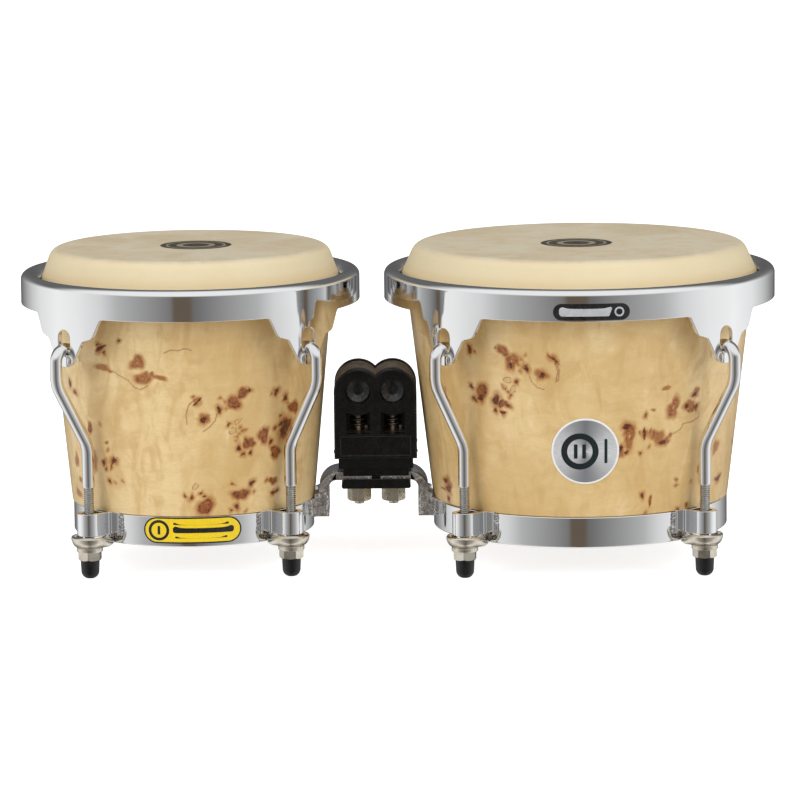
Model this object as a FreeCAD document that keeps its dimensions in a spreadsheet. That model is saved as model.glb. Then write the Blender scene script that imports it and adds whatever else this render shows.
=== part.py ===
import FreeCAD, Part
import math
import os
import Sketcher
from FreeCAD import Placement, Rotation, Vector

# A pair of tunable bongo drums joined by a centre block.
# Row frame: millimetres, +Z up, players' side at -Y, small drum (macho) at -X, large drum (hembra) at +X.
# z = 0 is the plane of the eight rubber foot caps; x = 0, y = 0 is the middle of the whole pair.

doc = FreeCAD.newDocument("bongo_drums")
sheet = doc.addObject("Spreadsheet::Sheet", "dims")

DIMS = [
    # layout
    ("macho_x", -127.5, "small drum axis, x"),
    ("hembra_x", 111.5, "large drum axis, x"),
    ("block_x", -14.6, "centre block middle, x"),
    # levels shared by both drums
    ("ring_bot", 21.0, "bottom ring, lower edge z"),
    ("ring_top", 39.5, "bottom ring, upper edge z"),
    ("ring_wall", 3.0, "bottom ring band thickness"),
    ("ring_flange", 7.0, "inward seat of the bottom ring, width beyond the band"),
    ("ring_seat", 2.5, "inward seat of the bottom ring, thickness"),
    ("ring_round", 0.9, "bottom ring edge round"),
    ("shell_wall", 10.5, "shell wall thickness"),
    ("shell_top", 194.2, "shell bearing edge z"),
    ("shell_round", 6.0, "bearing edge outside round"),
    ("bear_round", 6.5, "bearing edge round"),
    ("skin_gap", 0.1, "running gap under the head"),
    ("skin_wall", 1.4, "hide thickness"),
    ("hoop_z", 169.8, "flesh hoop centre z"),
    ("hoop_wire", 2.4, "flesh hoop wire radius"),
    ("band_bot", 162.0, "rim band lower edge z"),
    ("rim_wall", 2.8, "rim metal thickness"),
    ("rim_outer_round", 4.5, "rim crown, outside radius"),
    ("rim_crest", 181.2, "rim crest z"),
    ("lip_bot", 173.75, "rim inner lip lower edge z"),
    ("tab_bot", 131.4, "rim tab lower end z"),
    ("tab_flat", 1.2, "half width of the tab's level lower end"),
    ("tab_nose_w", 8.34, "tab half width where the nose round ends"),
    ("tab_nose_z", 135.56, "z where the nose round ends"),
    ("tab_step_w", 14.9, "tab half width under the step"),
    ("tab_step_z", 146.9, "tab step z"),
    ("tab_shoulder_w", 21.0, "tab half width at the shoulder"),
    ("tab_shoulder_z", 149.7, "tab shoulder z"),
    ("tab_half_top", 30.6, "tab half width at the band"),
    ("slot_top", 154.0, "hook slot top z"),
    ("slot_bot", 138.0, "hook slot bottom z"),
    ("slot_half_top", 4.9, "hook slot half width, top"),
    ("slot_half_bot", 5.6, "hook slot half width, bottom"),
    # tuning hooks
    ("hook_shank", 3.75, "hook shank radius"),
    ("thread_rad", 3.175, "hook thread major radius"),
    ("hook_bend", 7.45, "hook bend centreline radius"),
    ("hook_top", 142.35, "hook bend top, centreline z"),
    ("hook_tip", 134.2, "hook tip z"),
    ("hook_knee_hi", 121.5, "upper knee z"),
    ("hook_knee_lo", 81.0, "lower knee z"),
    ("thread_top", 57.0, "thread upper end z"),
    ("hook_end", 3.2, "rod lower end z"),
    # lugs
    ("lug_bot", 26.3, "lug bracket lower edge z"),
    ("lug_top", 40.3, "lug bracket upper edge z"),
    ("lug_nose", 7.5, "lug bracket nose outside radius"),
    ("lug_strap", 2.8, "lug bracket strap thickness"),
    ("lug_foot", 6.3, "lug bracket welded foot length"),
    ("washer_bot", 19.4, "dished washer lower face z"),
    ("washer_floor", 2.2, "dished washer floor thickness"),
    ("washer_lip", 26.2, "dished washer lip top z"),
    ("washer_rad", 10.9, "dished washer outside radius"),
    ("washer_hole", 3.8, "dished washer hole radius"),
    ("washer_lipwall", 1.9, "dished washer lip thickness"),
    ("nut_bot", 11.2, "tuning nut lower face z"),
    ("nut_flange_z", 16.6, "tuning nut flange lower face z"),
    ("nut_flange_rad", 8.0, "tuning nut flange radius"),
    ("nut_flats", 13.0, "tuning nut across flats"),
    ("nut_bore", 3.25, "tuning nut bore radius"),
    ("cap_rad", 5.75, "foot cap radius at the mouth"),
    ("cap_low_rad", 5.35, "foot cap radius above the round"),
    ("cap_round", 4.6, "foot cap bottom round"),
    ("cap_bore", 3.2, "foot cap bore radius"),
    # centre block
    ("lobe_dx", 10.6, "lobe axis offset from the block middle"),
    ("lobe_z", 106.4, "lobe axis z"),
    ("lobe_rad", 14.8, "lobe radius"),
    ("cover_bot", 65.0, "block cover lower edge z"),
    ("cover_wall", 6.0, "block cover thickness"),
    ("block_half", 23.0, "block half depth"),
    ("core_inset", 1.4, "core inset between ribs"),
    ("core_bot", 59.0, "core lower face z"),
    ("core_low_half", 22.9, "core foot half width"),
    ("rib_wall", 2.6, "core rib thickness"),
    ("rib_pitch", 5.1, "core rib pitch"),
    ("socket_rad", 7.7, "round socket radius"),
    ("barrel_rad", 7.6, "barrel radius"),
    ("barrel_half", 14.0, "barrel half length"),
    ("window_half", 7.3, "window half width"),
    ("window_top", 94.45, "window corner z"),
    ("window_bot", 80.6, "window sill z"),
    ("window_arc", 14.0, "window head radius about the lobe axis"),
    ("panel_half", 21.4, "blank panel half width"),
    ("panel_top", 78.9, "blank panel top z"),
    ("panel_bot", 67.2, "blank panel bottom z"),
    ("panel_sink", 1.1, "blank panel recess"),
    ("pad_top", 58.9, "upper pad upper face z"),
    ("pad_bot", 54.0, "upper pad lower face z"),
    ("pad_half", 20.2, "upper pad half width"),
    ("pad_depth", 20.0, "upper pad and clamp plate half depth"),
    ("arm_top", 56.1, "arm upper face z over the clamp"),
    ("arm_bot", 51.1, "arm lower face z over the clamp"),
    ("arm_half", 17.0, "arm half width"),
    ("arm_gap", 2.6, "half gap between the arm ends"),
    ("arm_foot", 28.5, "arm foot lower end z"),
    ("plate_top", 52.2, "clamp plate upper face z"),
    ("plate_bot", 46.1, "clamp plate lower face z"),
    ("plate_half", 21.4, "clamp plate half width"),
    ("bolt_rad", 3.2, "clamp bolt radius"),
    ("bolt_hole", 3.5, "clamp bolt hole radius"),
    ("bolt_bot", 33.8, "clamp bolt lower end z"),
    ("bolt_top", 112.0, "clamp bolt upper end z"),
    ("cnut_bot", 35.8, "clamp nut lower face z"),
    ("cnut_top", 44.3, "clamp nut upper face z"),
    ("cnut_flats", 13.0, "clamp nut across flats"),
    ("cwasher_rad", 7.6, "clamp washer radius"),
    ("spring_rad", 4.6, "block spring mean radius"),
    ("spring_wire", 0.9, "block spring wire radius"),
    ("spring_pitch", 2.9, "block spring pitch"),
    ("well_rad", 6.2, "spring well radius"),
    ("spring_seat", 80.7, "spring well floor z"),
    # small drum
    ("macho_ring_r", 74.2, "small drum bottom ring outside radius"),
    ("macho_shell_lo", 74.9, "small drum shell outside radius just above the ring"),
    ("macho_shell_hi", 89.0, "small drum shell outside radius at the bearing edge"),
    ("macho_rim_r", 104.0, "small drum rim outside radius"),
    ("macho_lip_r", 92.5, "small drum rim lip inside radius"),
    ("macho_bear_r", 79.0, "small drum bearing edge crest radius"),
    ("macho_lean_cos", 0.94264, "small drum collar lean from upright, cosine"),
    ("macho_lean_sin", 0.33381, "small drum collar lean from upright, sine"),
    ("macho_collar_r", 91.0, "small drum collar outside radius at the rim"),
    ("macho_hoop_r", 93.4, "small drum flesh hoop radius"),
    ("macho_hook_hi", 110.6, "small drum hook upper limb radius"),
    ("macho_hook_lo", 86.5, "small drum hook lower limb radius"),
    # large drum
    ("hembra_ring_r", 90.6, "large drum bottom ring outside radius"),
    ("hembra_shell_lo", 90.9, "large drum shell outside radius just above the ring"),
    ("hembra_shell_hi", 108.3, "large drum shell outside radius at the bearing edge"),
    ("hembra_rim_r", 120.0, "large drum rim outside radius"),
    ("hembra_lip_r", 109.5, "large drum rim lip inside radius"),
    ("hembra_bear_r", 95.6, "large drum bearing edge crest radius"),
    ("hembra_lean_cos", 0.90996, "large drum collar lean from upright, cosine"),
    ("hembra_lean_sin", 0.41469, "large drum collar lean from upright, sine"),
    ("hembra_collar_r", 108.9, "large drum collar outside radius at the rim"),
    ("hembra_hoop_r", 110.4, "large drum flesh hoop radius"),
    ("hembra_hook_hi", 126.6, "large drum hook upper limb radius"),
    ("hembra_hook_lo", 102.6, "large drum hook lower limb radius"),
    # trim
    ("badge_rad", 20.3, "shell badge radius"),
    ("badge_wall", 0.8, "shell badge thickness"),
    ("badge_z", 80.6, "shell badge centre z"),
    ("badge_x", -0.3, "shell badge centre offset from the drum axis"),
    ("label_wall", 0.2, "label thickness"),
    ("rlabel_half", 22.8, "rim label half length"),
    ("rlabel_rad", 5.0, "rim label half height"),
    ("rlabel_z", 167.9, "rim label centre z"),
    ("rlabel_x", 2.8, "rim label offset from the drum axis"),
    ("glabel_half", 29.5, "ring label half length"),
    ("glabel_rad", 8.0, "ring label half height"),
    ("glabel_z", 31.0, "ring label centre z"),
    ("glabel_x", 1.8, "ring label offset from the drum axis"),
]


class Q:
    """A length that carries both its number and the sheet formula it comes from."""

    def __init__(self, text, value):
        self.text, self.value = text, float(value)

    @staticmethod
    def of(other):
        return other if isinstance(other, Q) else Q(repr(float(other)), other)

    def _do(self, other, sign, value, swap=False):
        a, b = (Q.of(other), self) if swap else (self, Q.of(other))
        return Q("(" + a.text + " " + sign + " " + b.text + ")", value(a.value, b.value))

    def __add__(self, o):
        return self._do(o, "+", lambda a, b: a + b)

    def __radd__(self, o):
        return self._do(o, "+", lambda a, b: a + b, True)

    def __sub__(self, o):
        return self._do(o, "-", lambda a, b: a - b)

    def __rsub__(self, o):
        return self._do(o, "-", lambda a, b: a - b, True)

    def __mul__(self, o):
        return self._do(o, "*", lambda a, b: a * b)

    def __rmul__(self, o):
        return self._do(o, "*", lambda a, b: a * b, True)

    def __truediv__(self, o):
        return self._do(o, "/", lambda a, b: a / b)

    def __neg__(self):
        return Q("(0 - " + self.text + ")", -self.value)


D = {}
for i, (alias, number, note) in enumerate(DIMS, 1):
    sheet.set("A%d" % i, note)
    sheet.set("B%d" % i, str(number))
    sheet.setAlias("B%d" % i, alias)
    D[alias] = Q("dims." + alias, number)
doc.recompute()


def q(alias):
    return D[alias]


def qroot(a):
    a = Q.of(a)
    return Q("sqrt(" + a.text + ")", math.sqrt(a.value))


def bind(obj, prop, formula):
    obj.setExpression(prop, Q.of(formula).text)


NODES = []


def keep(obj, label):
    obj.Label = label
    NODES.append(obj)
    return obj


def new_body(name):
    body = doc.addObject("PartDesign::Body", name)
    if hasattr(body, "AllowCompound"):
        body.AllowCompound = True
    return body


def plane(body, role):
    for f in body.Origin.OriginFeatures:
        if f.Role == role:
            return f


def new_sketch(body, name, role, lift=None):
    s = body.newObject("Sketcher::SketchObject", name)
    s.AttachmentSupport = [(plane(body, role), "")]
    s.MapMode = "FlatFace"
    if lift is not None:
        s.AttachmentOffset = Placement(Vector(0, 0, Q.of(lift).value), Rotation())
        bind(s, "AttachmentOffset.Base.z", lift)
    return s


def pin_point(s, geo, pos, x, y):
    """Holds one vertex of a sketch at sheet-driven coordinates."""
    for word, number, axis in (("DistanceX", x, -2), ("DistanceY", y, -1)):
        if number.value == 0:
            s.addConstraint(Sketcher.Constraint("PointOnObject", geo, pos, axis))
            continue
        if number.value > 0:
            c = s.addConstraint(Sketcher.Constraint(word, -1, 1, geo, pos, number.value))
            t = number.text
        else:
            c = s.addConstraint(Sketcher.Constraint(word, geo, pos, -1, 1, -number.value))
            t = (-number).text
        if "dims." in t:
            s.setExpression("Constraints[%d]" % c, t)


def loop(s, pts, closed=True):
    """A chain of straight runs and arcs. Each entry is (x, y) or (x, y, radius, turn): the run that leaves that
    vertex is then an arc of that radius, turning left for turn +1 and right for -1."""
    pts = [(Q.of(p[0]), Q.of(p[1])) + tuple(p[2:]) for p in pts]
    n = len(pts) if closed else len(pts) - 1
    ends = []
    for i in range(n):
        a, b = pts[i], pts[(i + 1) % len(pts)]
        pa, pb = Vector(a[0].value, a[1].value, 0), Vector(b[0].value, b[1].value, 0)
        if len(a) == 2:
            g = s.addGeometry(Part.LineSegment(pa, pb), False)
            ends.append((g, 1, 2))
        else:
            rad, turn = Q.of(a[2]), a[3]
            mid, d = (pa + pb) * 0.5, pb - pa
            half = d.Length / 2
            rise = math.sqrt(max(rad.value**2 - half**2, 0.0))
            left = Vector(-d.y, d.x, 0) * (1 / d.Length)
            c = mid + left * (rise * turn)
            a0 = math.atan2(pa.y - c.y, pa.x - c.x)
            a1 = math.atan2(pb.y - c.y, pb.x - c.x)
            circle = Part.Circle(c, Vector(0, 0, 1), rad.value)
            if turn > 0:
                g = s.addGeometry(Part.ArcOfCircle(circle, a0, a1 if a1 > a0 else a1 + 2 * math.pi), False)
                ends.append((g, 1, 2))
            else:
                g = s.addGeometry(Part.ArcOfCircle(circle, a1, a0 if a0 > a1 else a0 + 2 * math.pi), False)
                ends.append((g, 2, 1))
            c = s.addConstraint(Sketcher.Constraint("Radius", g, rad.value))
            if "dims." in rad.text:
                s.setExpression("Constraints[%d]" % c, rad.text)
    for i in range(n if closed else n - 1):
        e, f = ends[i], ends[(i + 1) % n]
        s.addConstraint(Sketcher.Constraint("Coincident", e[0], e[2], f[0], f[1]))
    for i in range(n):
        pin_point(s, ends[i][0], ends[i][1], pts[i][0], pts[i][1])
    if not closed:
        pin_point(s, ends[-1][0], ends[-1][2], pts[-1][0], pts[-1][1])


def ring_hole(s, x, y, rad):
    x, y, rad = Q.of(x), Q.of(y), Q.of(rad)
    g = s.addGeometry(Part.Circle(Vector(x.value, y.value, 0), Vector(0, 0, 1), rad.value), False)
    pin_point(s, g, 3, x, y)
    c = s.addConstraint(Sketcher.Constraint("Radius", g, rad.value))
    s.setExpression("Constraints[%d]" % c, rad.text)


def hexagon(s, flats, turn=0.0):
    """A hexagon about the sketch origin with two flats square to the sketch's x axis (or turned)."""
    rad = Q.of(flats) / math.sqrt(3)
    pts = []
    for k in range(6):
        a = math.radians(30 + 60 * k + turn)
        pts.append((rad * round(math.cos(a), 9), rad * round(math.sin(a), 9)))
    loop(s, pts)


def revolve(body, name, pts):
    s = new_sketch(body, name + "_profile", "XZ_Plane")
    loop(s, pts)
    f = body.newObject("PartDesign::Revolution", name)
    f.Profile = s
    f.ReferenceAxis = (s, ["V_Axis"])
    f.Angle = 360.0
    return f


def pad(body, name, sketch, length, both=False, flip=False):
    f = body.newObject("PartDesign::Pad", name)
    f.Profile = sketch
    if both:
        f.SideType = "Symmetric"
    bind(f, "Length", length)
    f.Reversed = flip
    return f


def pocket(body, name, sketch, length=None, both=False, flip=False):
    f = body.newObject("PartDesign::Pocket", name)
    f.Profile = sketch
    if length is None:
        f.Type = "ThroughAll"
        if both:
            f.SideType = "Symmetric"
    else:
        f.Type = "Length"
        if both:
            f.SideType = "Symmetric"
        bind(f, "Length", length)
    f.Reversed = flip
    return f


def around(body, name, originals, count=4):
    f = body.newObject("PartDesign::PolarPattern", name)
    f.Originals = originals
    for o in body.Origin.OriginFeatures:
        if o.Role == "Z_Axis":
            f.Axis = (o, [""])
    f.Angle = 360.0
    f.Occurrences = count
    body.Tip = f
    return f


def place(obj, x, angle=0.0):
    obj.Placement = Placement(Vector(Q.of(x).value, 0, 0), Rotation(Vector(0, 0, 1), angle))
    bind(obj, "Placement.Base.x", x)


CORNERS = (("rear_right", 45.0), ("rear_left", 135.0), ("front_left", 225.0), ("front_right", 315.0))


def drum(d):
    """One drum: shell, head, flesh hoop, rim, bottom ring, lugs, hooks, nuts and foot caps."""

    def v(word):
        return q(d + "_" + word)

    x = v("x")

    # bottom ring: an L section whose inward seat carries the shell
    ring = new_body(d + "_ring_body")
    band_in = v("ring_r") - q("ring_wall")
    rr = q("ring_round")
    revolve(ring, d + "_ring_turn", [
        (band_in - q("ring_flange"), q("ring_bot")),
        (v("ring_r") - rr, q("ring_bot"), rr, 1),
        (v("ring_r"), q("ring_bot") + rr),
        (v("ring_r"), q("ring_top") - rr, rr, 1),
        (v("ring_r") - rr, q("ring_top")),
        (band_in, q("ring_top")),
        (band_in, q("ring_bot") + q("ring_seat")),
        (band_in - q("ring_flange"), q("ring_bot") + q("ring_seat")),
    ])
    place(ring, x)
    keep(ring, d + "_bottom_ring")

    # shell: tapered wooden shell with a rebate for the ring and a rounded bearing edge
    shell = new_body(d + "_shell_body")
    seat_z = q("ring_bot") + q("ring_seat")
    reb = band_in - 0.1
    step_z = q("ring_top") + 0.2
    w = q("shell_wall")
    sr = q("bear_round")
    # the bearing edge is a round that leans into a bevel, which meets the tapered wall
    bear_z = q("shell_top") - sr
    lean = v("lean_sin") / v("lean_cos")
    wall_slope = (v("shell_hi") - v("shell_lo")) / (q("shell_top") - q("shell_round") - step_z)
    edge_r = v("bear_r") + sr * v("lean_cos")
    edge_z = bear_z + sr * v("lean_sin")
    bevel_z = (edge_r + edge_z * lean - v("shell_lo") + wall_slope * step_z) / (wall_slope + lean)
    bevel_r = edge_r + (edge_z - bevel_z) * lean
    crest_r = v("shell_hi") - w + 1.2
    crest_z = bear_z + qroot(sr * sr - (crest_r - v("bear_r")) * (crest_r - v("bear_r")))
    revolve(shell, d + "_shell_turn", [
        (reb - w + 4, seat_z),
        (reb, seat_z),
        (reb, step_z),
        (v("shell_lo"), step_z),
        (bevel_r, bevel_z),
        (v("bear_r") + sr * v("lean_cos"), bear_z + sr * v("lean_sin"), sr, 1),
        (crest_r, crest_z),
        (v("shell_hi") - w, crest_z - 1.2),
        (v("shell_lo") - w, step_z + 12),
    ])
    place(shell, x)
    keep(shell, d + "_shell")

    # head: one hide, flat over the bearing edge, down the collar and tucked round the flesh hoop
    skin = new_body(d + "_head_body")
    g, t = q("skin_gap"), q("skin_wall")
    hr = q("hoop_wire") + 0.05
    ho = hr + t
    crown = sr + g
    top_in, top_out = q("shell_top") + g, q("shell_top") + g + t
    hx, hz = v("hoop_r"), q("hoop_z")
    lc, ls = v("lean_cos"), v("lean_sin")
    low_z = hz + 8.0
    # the collar meets the hoop side tangentially; sides follow the taper of the shell
    revolve(skin, d + "_head_turn", [
        (0, top_in),
        (v("bear_r"), top_in, crown, -1),
        (v("bear_r") + crown * lc, bear_z + crown * ls),
        (v("collar_r") - t * lc, low_z - t * ls),
        (hx - ho, hz, ho, 1),
        (hx, hz - ho, ho, 1),
        (hx + ho, hz, ho, 1),
        (hx, hz + ho),
        (hx, hz + hr, hr, -1),
        (hx + hr, hz, hr, -1),
        (hx, hz - hr, hr, -1),
        (hx - hr, hz),
        (v("collar_r"), low_z),
        (v("bear_r") + (crown + t) * lc, bear_z + (crown + t) * ls, crown + t, 1),
        (v("bear_r"), top_out),
        (0, top_out),
    ])
    place(skin, x)
    keep(skin, d + "_head")

    # flesh hoop: round wire ring inside the tuck of the hide
    hoop = doc.addObject("Part::Torus", d + "_hoop")
    bind(hoop, "Radius1", v("hoop_r"))
    bind(hoop, "Radius2", q("hoop_wire"))
    hoop.Placement = Placement(Vector(x.value, 0, hz.value), Rotation())
    bind(hoop, "Placement.Base.x", x)
    bind(hoop, "Placement.Base.z", hz)
    keep(hoop, d + "_flesh_hoop")

    # rim: rolled inverted U with a deep band, cut back between four slotted tabs
    rim = new_body(d + "_rim_body")
    ro, rw = q("rim_outer_round"), q("rim_wall")
    cx = v("rim_r") - ro
    ri = cx - v("lip_r")
    band = revolve(rim, d + "_rim_turn", [
        (v("rim_r"), q("tab_bot")),
        (v("rim_r"), q("rim_crest") - ro, ro, 1),
        (cx, q("rim_crest"), ri, 1),
        (v("lip_r"), q("rim_crest") - ri),
        (v("lip_r"), q("lip_bot")),
        (v("lip_r") + rw, q("lip_bot")),
        (v("lip_r") + rw, q("rim_crest") - ri, ri - rw, -1),
        (cx, q("rim_crest") - rw, ro - rw, -1),
        (v("rim_r") - rw, q("rim_crest") - ro),
        (v("rim_r") - rw, q("tab_bot")),
    ])
    doc.recompute()
    before = rim.Shape.Volume
    s = new_sketch(rim, d + "_tab_outline", "XZ_Plane", v("rim_r") + 3)
    wide = v("rim_r") * 0.714
    for side in (1, -1):
        # one cut-back beside the tab, as a closed outline in the tangent plane of the tab
        pts = [
            (q("tab_flat") * side, q("tab_bot") - 1.0),
            (q("tab_flat") * side, q("tab_bot")),
            (q("tab_nose_w") * side, q("tab_nose_z")),
            (q("tab_step_w") * side, q("tab_step_z")),
            (q("tab_step_w") * side + 2.05 * side, q("tab_step_z") + 1.6),
            (q("tab_shoulder_w") * side, q("tab_shoulder_z")),
            (q("tab_shoulder_w") * side + 2.6 * side, q("tab_shoulder_z") + 2.15),
            (q("tab_half_top") * side - 2.8 * side, q("band_bot") - 1.7),
            (q("tab_half_top") * side, q("band_bot")),
            (wide * side, q("band_bot")),
            (wide * side, q("tab_bot") - 1.0),
        ]
        # arcs: nose round, step fillet, shoulder round, fillet into the band
        arcs = {1: (8.2, 1), 3: (3.5, -1), 5: (4.3, 1), 7: (3.15, -1)}
        out = []
        for i, p in enumerate(pts):
            if i in arcs:
                out.append((p[0], p[1], arcs[i][0], arcs[i][1] * side))
            else:
                out.append(p)
        loop(s, out)
    # the hook slot of the tab
    st, sb, zt, zb = q("slot_half_top"), q("slot_half_bot"), q("slot_top"), q("slot_bot")
    loop(s, [
        (-st, zt - st),
        (-sb, zb + sb, sb, 1),
        (0, zb, sb, 1),
        (sb, zb + sb),
        (st, zt - st, st, 1),
        (0, zt, st, 1),
    ])
    cut = pocket(rim, d + "_tab_cut", s, v("rim_r") * 0.2929 + 7)
    doc.recompute()
    if rim.Shape.Volume > before - 1000:
        cut.Reversed = True
        doc.recompute()
    around(rim, d + "_tab_ring", [cut])
    doc.recompute()
    assert rim.Shape.Volume < before - 20000, "the rim was not cut back"
    place(rim, x, 45.0)
    keep(rim, d + "_rim")

    # lug brackets: omega straps welded to the ring, their feet hollowed to its curve
    strap = new_body(d + "_lug_body")
    s = new_sketch(strap, d + "_lug_plan", "XY_Plane", q("lug_bot"))
    n_out, st = q("lug_nose"), q("lug_strap")
    n_in = n_out - st
    rx, gx = v("hook_lo"), v("ring_r")
    back = gx + 0.9
    deep = gx - 3.0
    fo = q("lug_foot")
    loop(s, [
        (rx, -n_out, n_out, 1),
        (rx + n_out, 0, n_out, 1),
        (rx, n_out),
        (back + st, n_out),
        (back + st - 1.3, n_out + fo),
        (deep, n_out + fo),
        (deep, n_in),
        (rx, n_in, n_in, -1),
        (rx + n_in, 0, n_in, -1),
        (rx, -n_in),
        (deep, -n_in),
        (deep, -n_out - fo),
        (back + st - 1.3, -n_out - fo),
        (back + st, -n_out),
    ])
    sp = pad(strap, d + "_lug_pad", s, q("lug_top") - q("lug_bot"))
    s2 = new_sketch(strap, d + "_lug_seat", "XY_Plane", q("lug_bot") - 1)
    ring_hole(s2, 0, 0, gx + 0.02)
    sc = pocket(strap, d + "_lug_scribe", s2, q("lug_top") - q("lug_bot") + 2, flip=True)
    s3 = new_sketch(strap, d + "_lug_clear", "XY_Plane", q("ring_top") + 0.02)
    ring_hole(s3, 0, 0, v("shell_lo") + 0.2)
    sr2 = pocket(strap, d + "_lug_relief", s3, q("lug_top") - q("ring_top") + 1, flip=True)
    doc.recompute()
    around(strap, d + "_lug_ring", [sp, sc, sr2])
    place(strap, x, 45.0)
    keep(strap, d + "_lug_brackets")

    # dished washers under the brackets
    wash = new_body(d + "_washer_body")
    wr, wl = q("washer_rad"), q("washer_lipwall")

    def teardrop(sk, inset):
        r = wr - inset
        bx = gx + 0.6 + inset
        cw = 11.6 - inset
        loop(sk, [
            (rx, -r, r, 1),
            (rx + r, 0, r, 1),
            (rx, r),
            (bx + 3.0, cw),
            (bx, cw - 3.0),
            (bx, -cw + 3.0),
            (bx + 3.0, -cw),
        ])

    s = new_sketch(wash, d + "_washer_plan", "XY_Plane", q("washer_bot"))
    teardrop(s, 0)
    wp = pad(wash, d + "_washer_pad", s, q("washer_lip") - q("washer_bot"))
    s = new_sketch(wash, d + "_washer_dish", "XY_Plane", q("washer_lip") + 1)
    r = wr - wl
    # the dish is open towards the ring, so the lip stands only round the nose
    loop(s, [
        (rx, -r, r, 1),
        (rx + r, 0, r, 1),
        (rx, r),
        (rx, wr + 3),
        (gx - 3, wr + 3),
        (gx - 3, -wr - 3),
        (rx, -wr - 3),
    ])
    wd = pocket(wash, d + "_washer_sink", s, q("washer_lip") + 1 - q("washer_bot") - q("washer_floor"))
    s = new_sketch(wash, d + "_washer_hole", "XY_Plane", q("washer_bot") - 1)
    ring_hole(s, rx, 0, q("washer_hole"))
    wh = pocket(wash, d + "_washer_bore", s, q("washer_floor") + 3, flip=True)
    doc.recompute()
    around(wash, d + "_washer_ring", [wp, wd, wh])
    place(wash, x, 45.0)
    keep(wash, d + "_lug_washers")

    # foot caps: rubber tips pushed on the rod ends
    caps = new_body(d + "_cap_body")
    s = new_sketch(caps, d + "_cap_plan", "XY_Plane")
    ring_hole(s, rx, 0, q("cap_rad"))
    cp = pad(caps, d + "_cap_pad", s, q("nut_bot"))
    s = new_sketch(caps, d + "_cap_bore", "XY_Plane", q("nut_bot"))
    ring_hole(s, rx, 0, q("cap_bore"))
    cb = pocket(caps, d + "_cap_hole", s, q("nut_bot") - q("hook_end") + 0.1)
    doc.recompute()
    cf = None
    edges = [
        "Edge%d" % (i + 1)
        for i, e in enumerate(cb.Shape.Edges)
        if e.BoundBox.ZLength < 1e-6 and abs(e.BoundBox.ZMin) < 1e-6
    ]
    cf = caps.newObject("PartDesign::Fillet", d + "_cap_round")
    cf.Base = (cb, edges)
    bind(cf, "Radius", q("cap_round"))
    doc.recompute()
    multi = doc.addObject("Part::Compound", d + "_caps")
    tips = []
    for name, angle in CORNERS:
        tip = doc.addObject("Part::Feature", d + "_cap_" + name)
        tip.Shape = caps.Shape.copy()
        tip.Placement = Placement(Vector(0, 0, 0), Rotation(Vector(0, 0, 1), angle))
        tips.append(tip)
    multi.Links = tips
    place(multi, x)
    keep(multi, d + "_foot_caps")

    # hooks and tuning nuts, one of each per corner
    for name, angle in CORNERS:
        hook = new_body(d + "_hook_" + name)
        hi, lo, hb = v("hook_hi"), v("hook_lo"), q("hook_bend")
        arc_z = q("hook_top") - hb
        s = new_sketch(hook, d + "_hook_path_" + name, "XZ_Plane")
        loop(s, [
            (lo, q("thread_top")),
            (lo, q("hook_knee_lo") - 5, 15.0, -1),
            (lo + 2.45, q("hook_knee_lo") + 4.3),
            (hi - 2.45, q("hook_knee_hi") - 4.3, 15.0, 1),
            (hi, q("hook_knee_hi") + 5),
            (hi, arc_z, hb, 1),
            (hi - hb, q("hook_top"), hb, 1),
            (hi - hb * 2, arc_z),
            (hi - hb * 2, q("hook_tip")),
        ], closed=False)
        p = new_sketch(hook, d + "_hook_round_" + name, "XY_Plane", q("thread_top"))
        ring_hole(p, lo, 0, q("hook_shank"))
        pipe = hook.newObject("PartDesign::AdditivePipe", d + "_hook_shank_" + name)
        pipe.Profile = p
        pipe.Spine = (s, [])
        pipe.Transition = "Transformed"
        p2 = new_sketch(hook, d + "_hook_stud_" + name, "XY_Plane", q("hook_end"))
        ring_hole(p2, lo, 0, q("thread_rad"))
        pad(hook, d + "_hook_thread_" + name, p2, q("thread_top") - q("hook_end") + 0.5)
        place(hook, x, angle)
        keep(hook, d + "_hook_" + name)

        nut = new_body(d + "_nut_" + name)
        s = new_sketch(nut, d + "_nut_hex_" + name, "XY_Plane", q("nut_bot"))
        hexagon(s, q("nut_flats"), 8.0)
        pad(nut, d + "_nut_pad_" + name, s, q("nut_flange_z") - q("nut_bot") + 0.4)
        s = new_sketch(nut, d + "_nut_flange_plan_" + name, "XY_Plane", q("nut_flange_z"))
        ring_hole(s, 0, 0, q("nut_flange_rad"))
        pad(nut, d + "_nut_flange_" + name, s, q("washer_bot") - q("nut_flange_z"))
        s = new_sketch(nut, d + "_nut_bore_plan_" + name, "XY_Plane", q("nut_bot") - 1)
        ring_hole(s, 0, 0, q("nut_bore"))
        pocket(nut, d + "_nut_bore_" + name, s, q("washer_bot") - q("nut_bot") + 2, flip=True)
        ca, sa = round(math.cos(math.radians(angle)), 9), round(math.sin(math.radians(angle)), 9)
        nut.Placement = Placement(Vector(x.value + v("hook_lo").value * ca, v("hook_lo").value * sa, 0), Rotation(Vector(0, 0, 1), angle))
        bind(nut, "Placement.Base.x", x + v("hook_lo") * ca)
        bind(nut, "Placement.Base.y", v("hook_lo") * sa)
        keep(nut, d + "_nut_" + name)

    # arm: bent plate welded to the ring and clamped under the block
    arm = new_body(d + "_arm_body")
    sgn = 1 if d == "macho" else -1  # towards the block
    face = q(d + "_x") + v("ring_r") * sgn
    bx = q("block_x")
    s = new_sketch(arm, d + "_arm_side", "XZ_Plane")

    def off(mm):
        return face + mm * sgn

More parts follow.
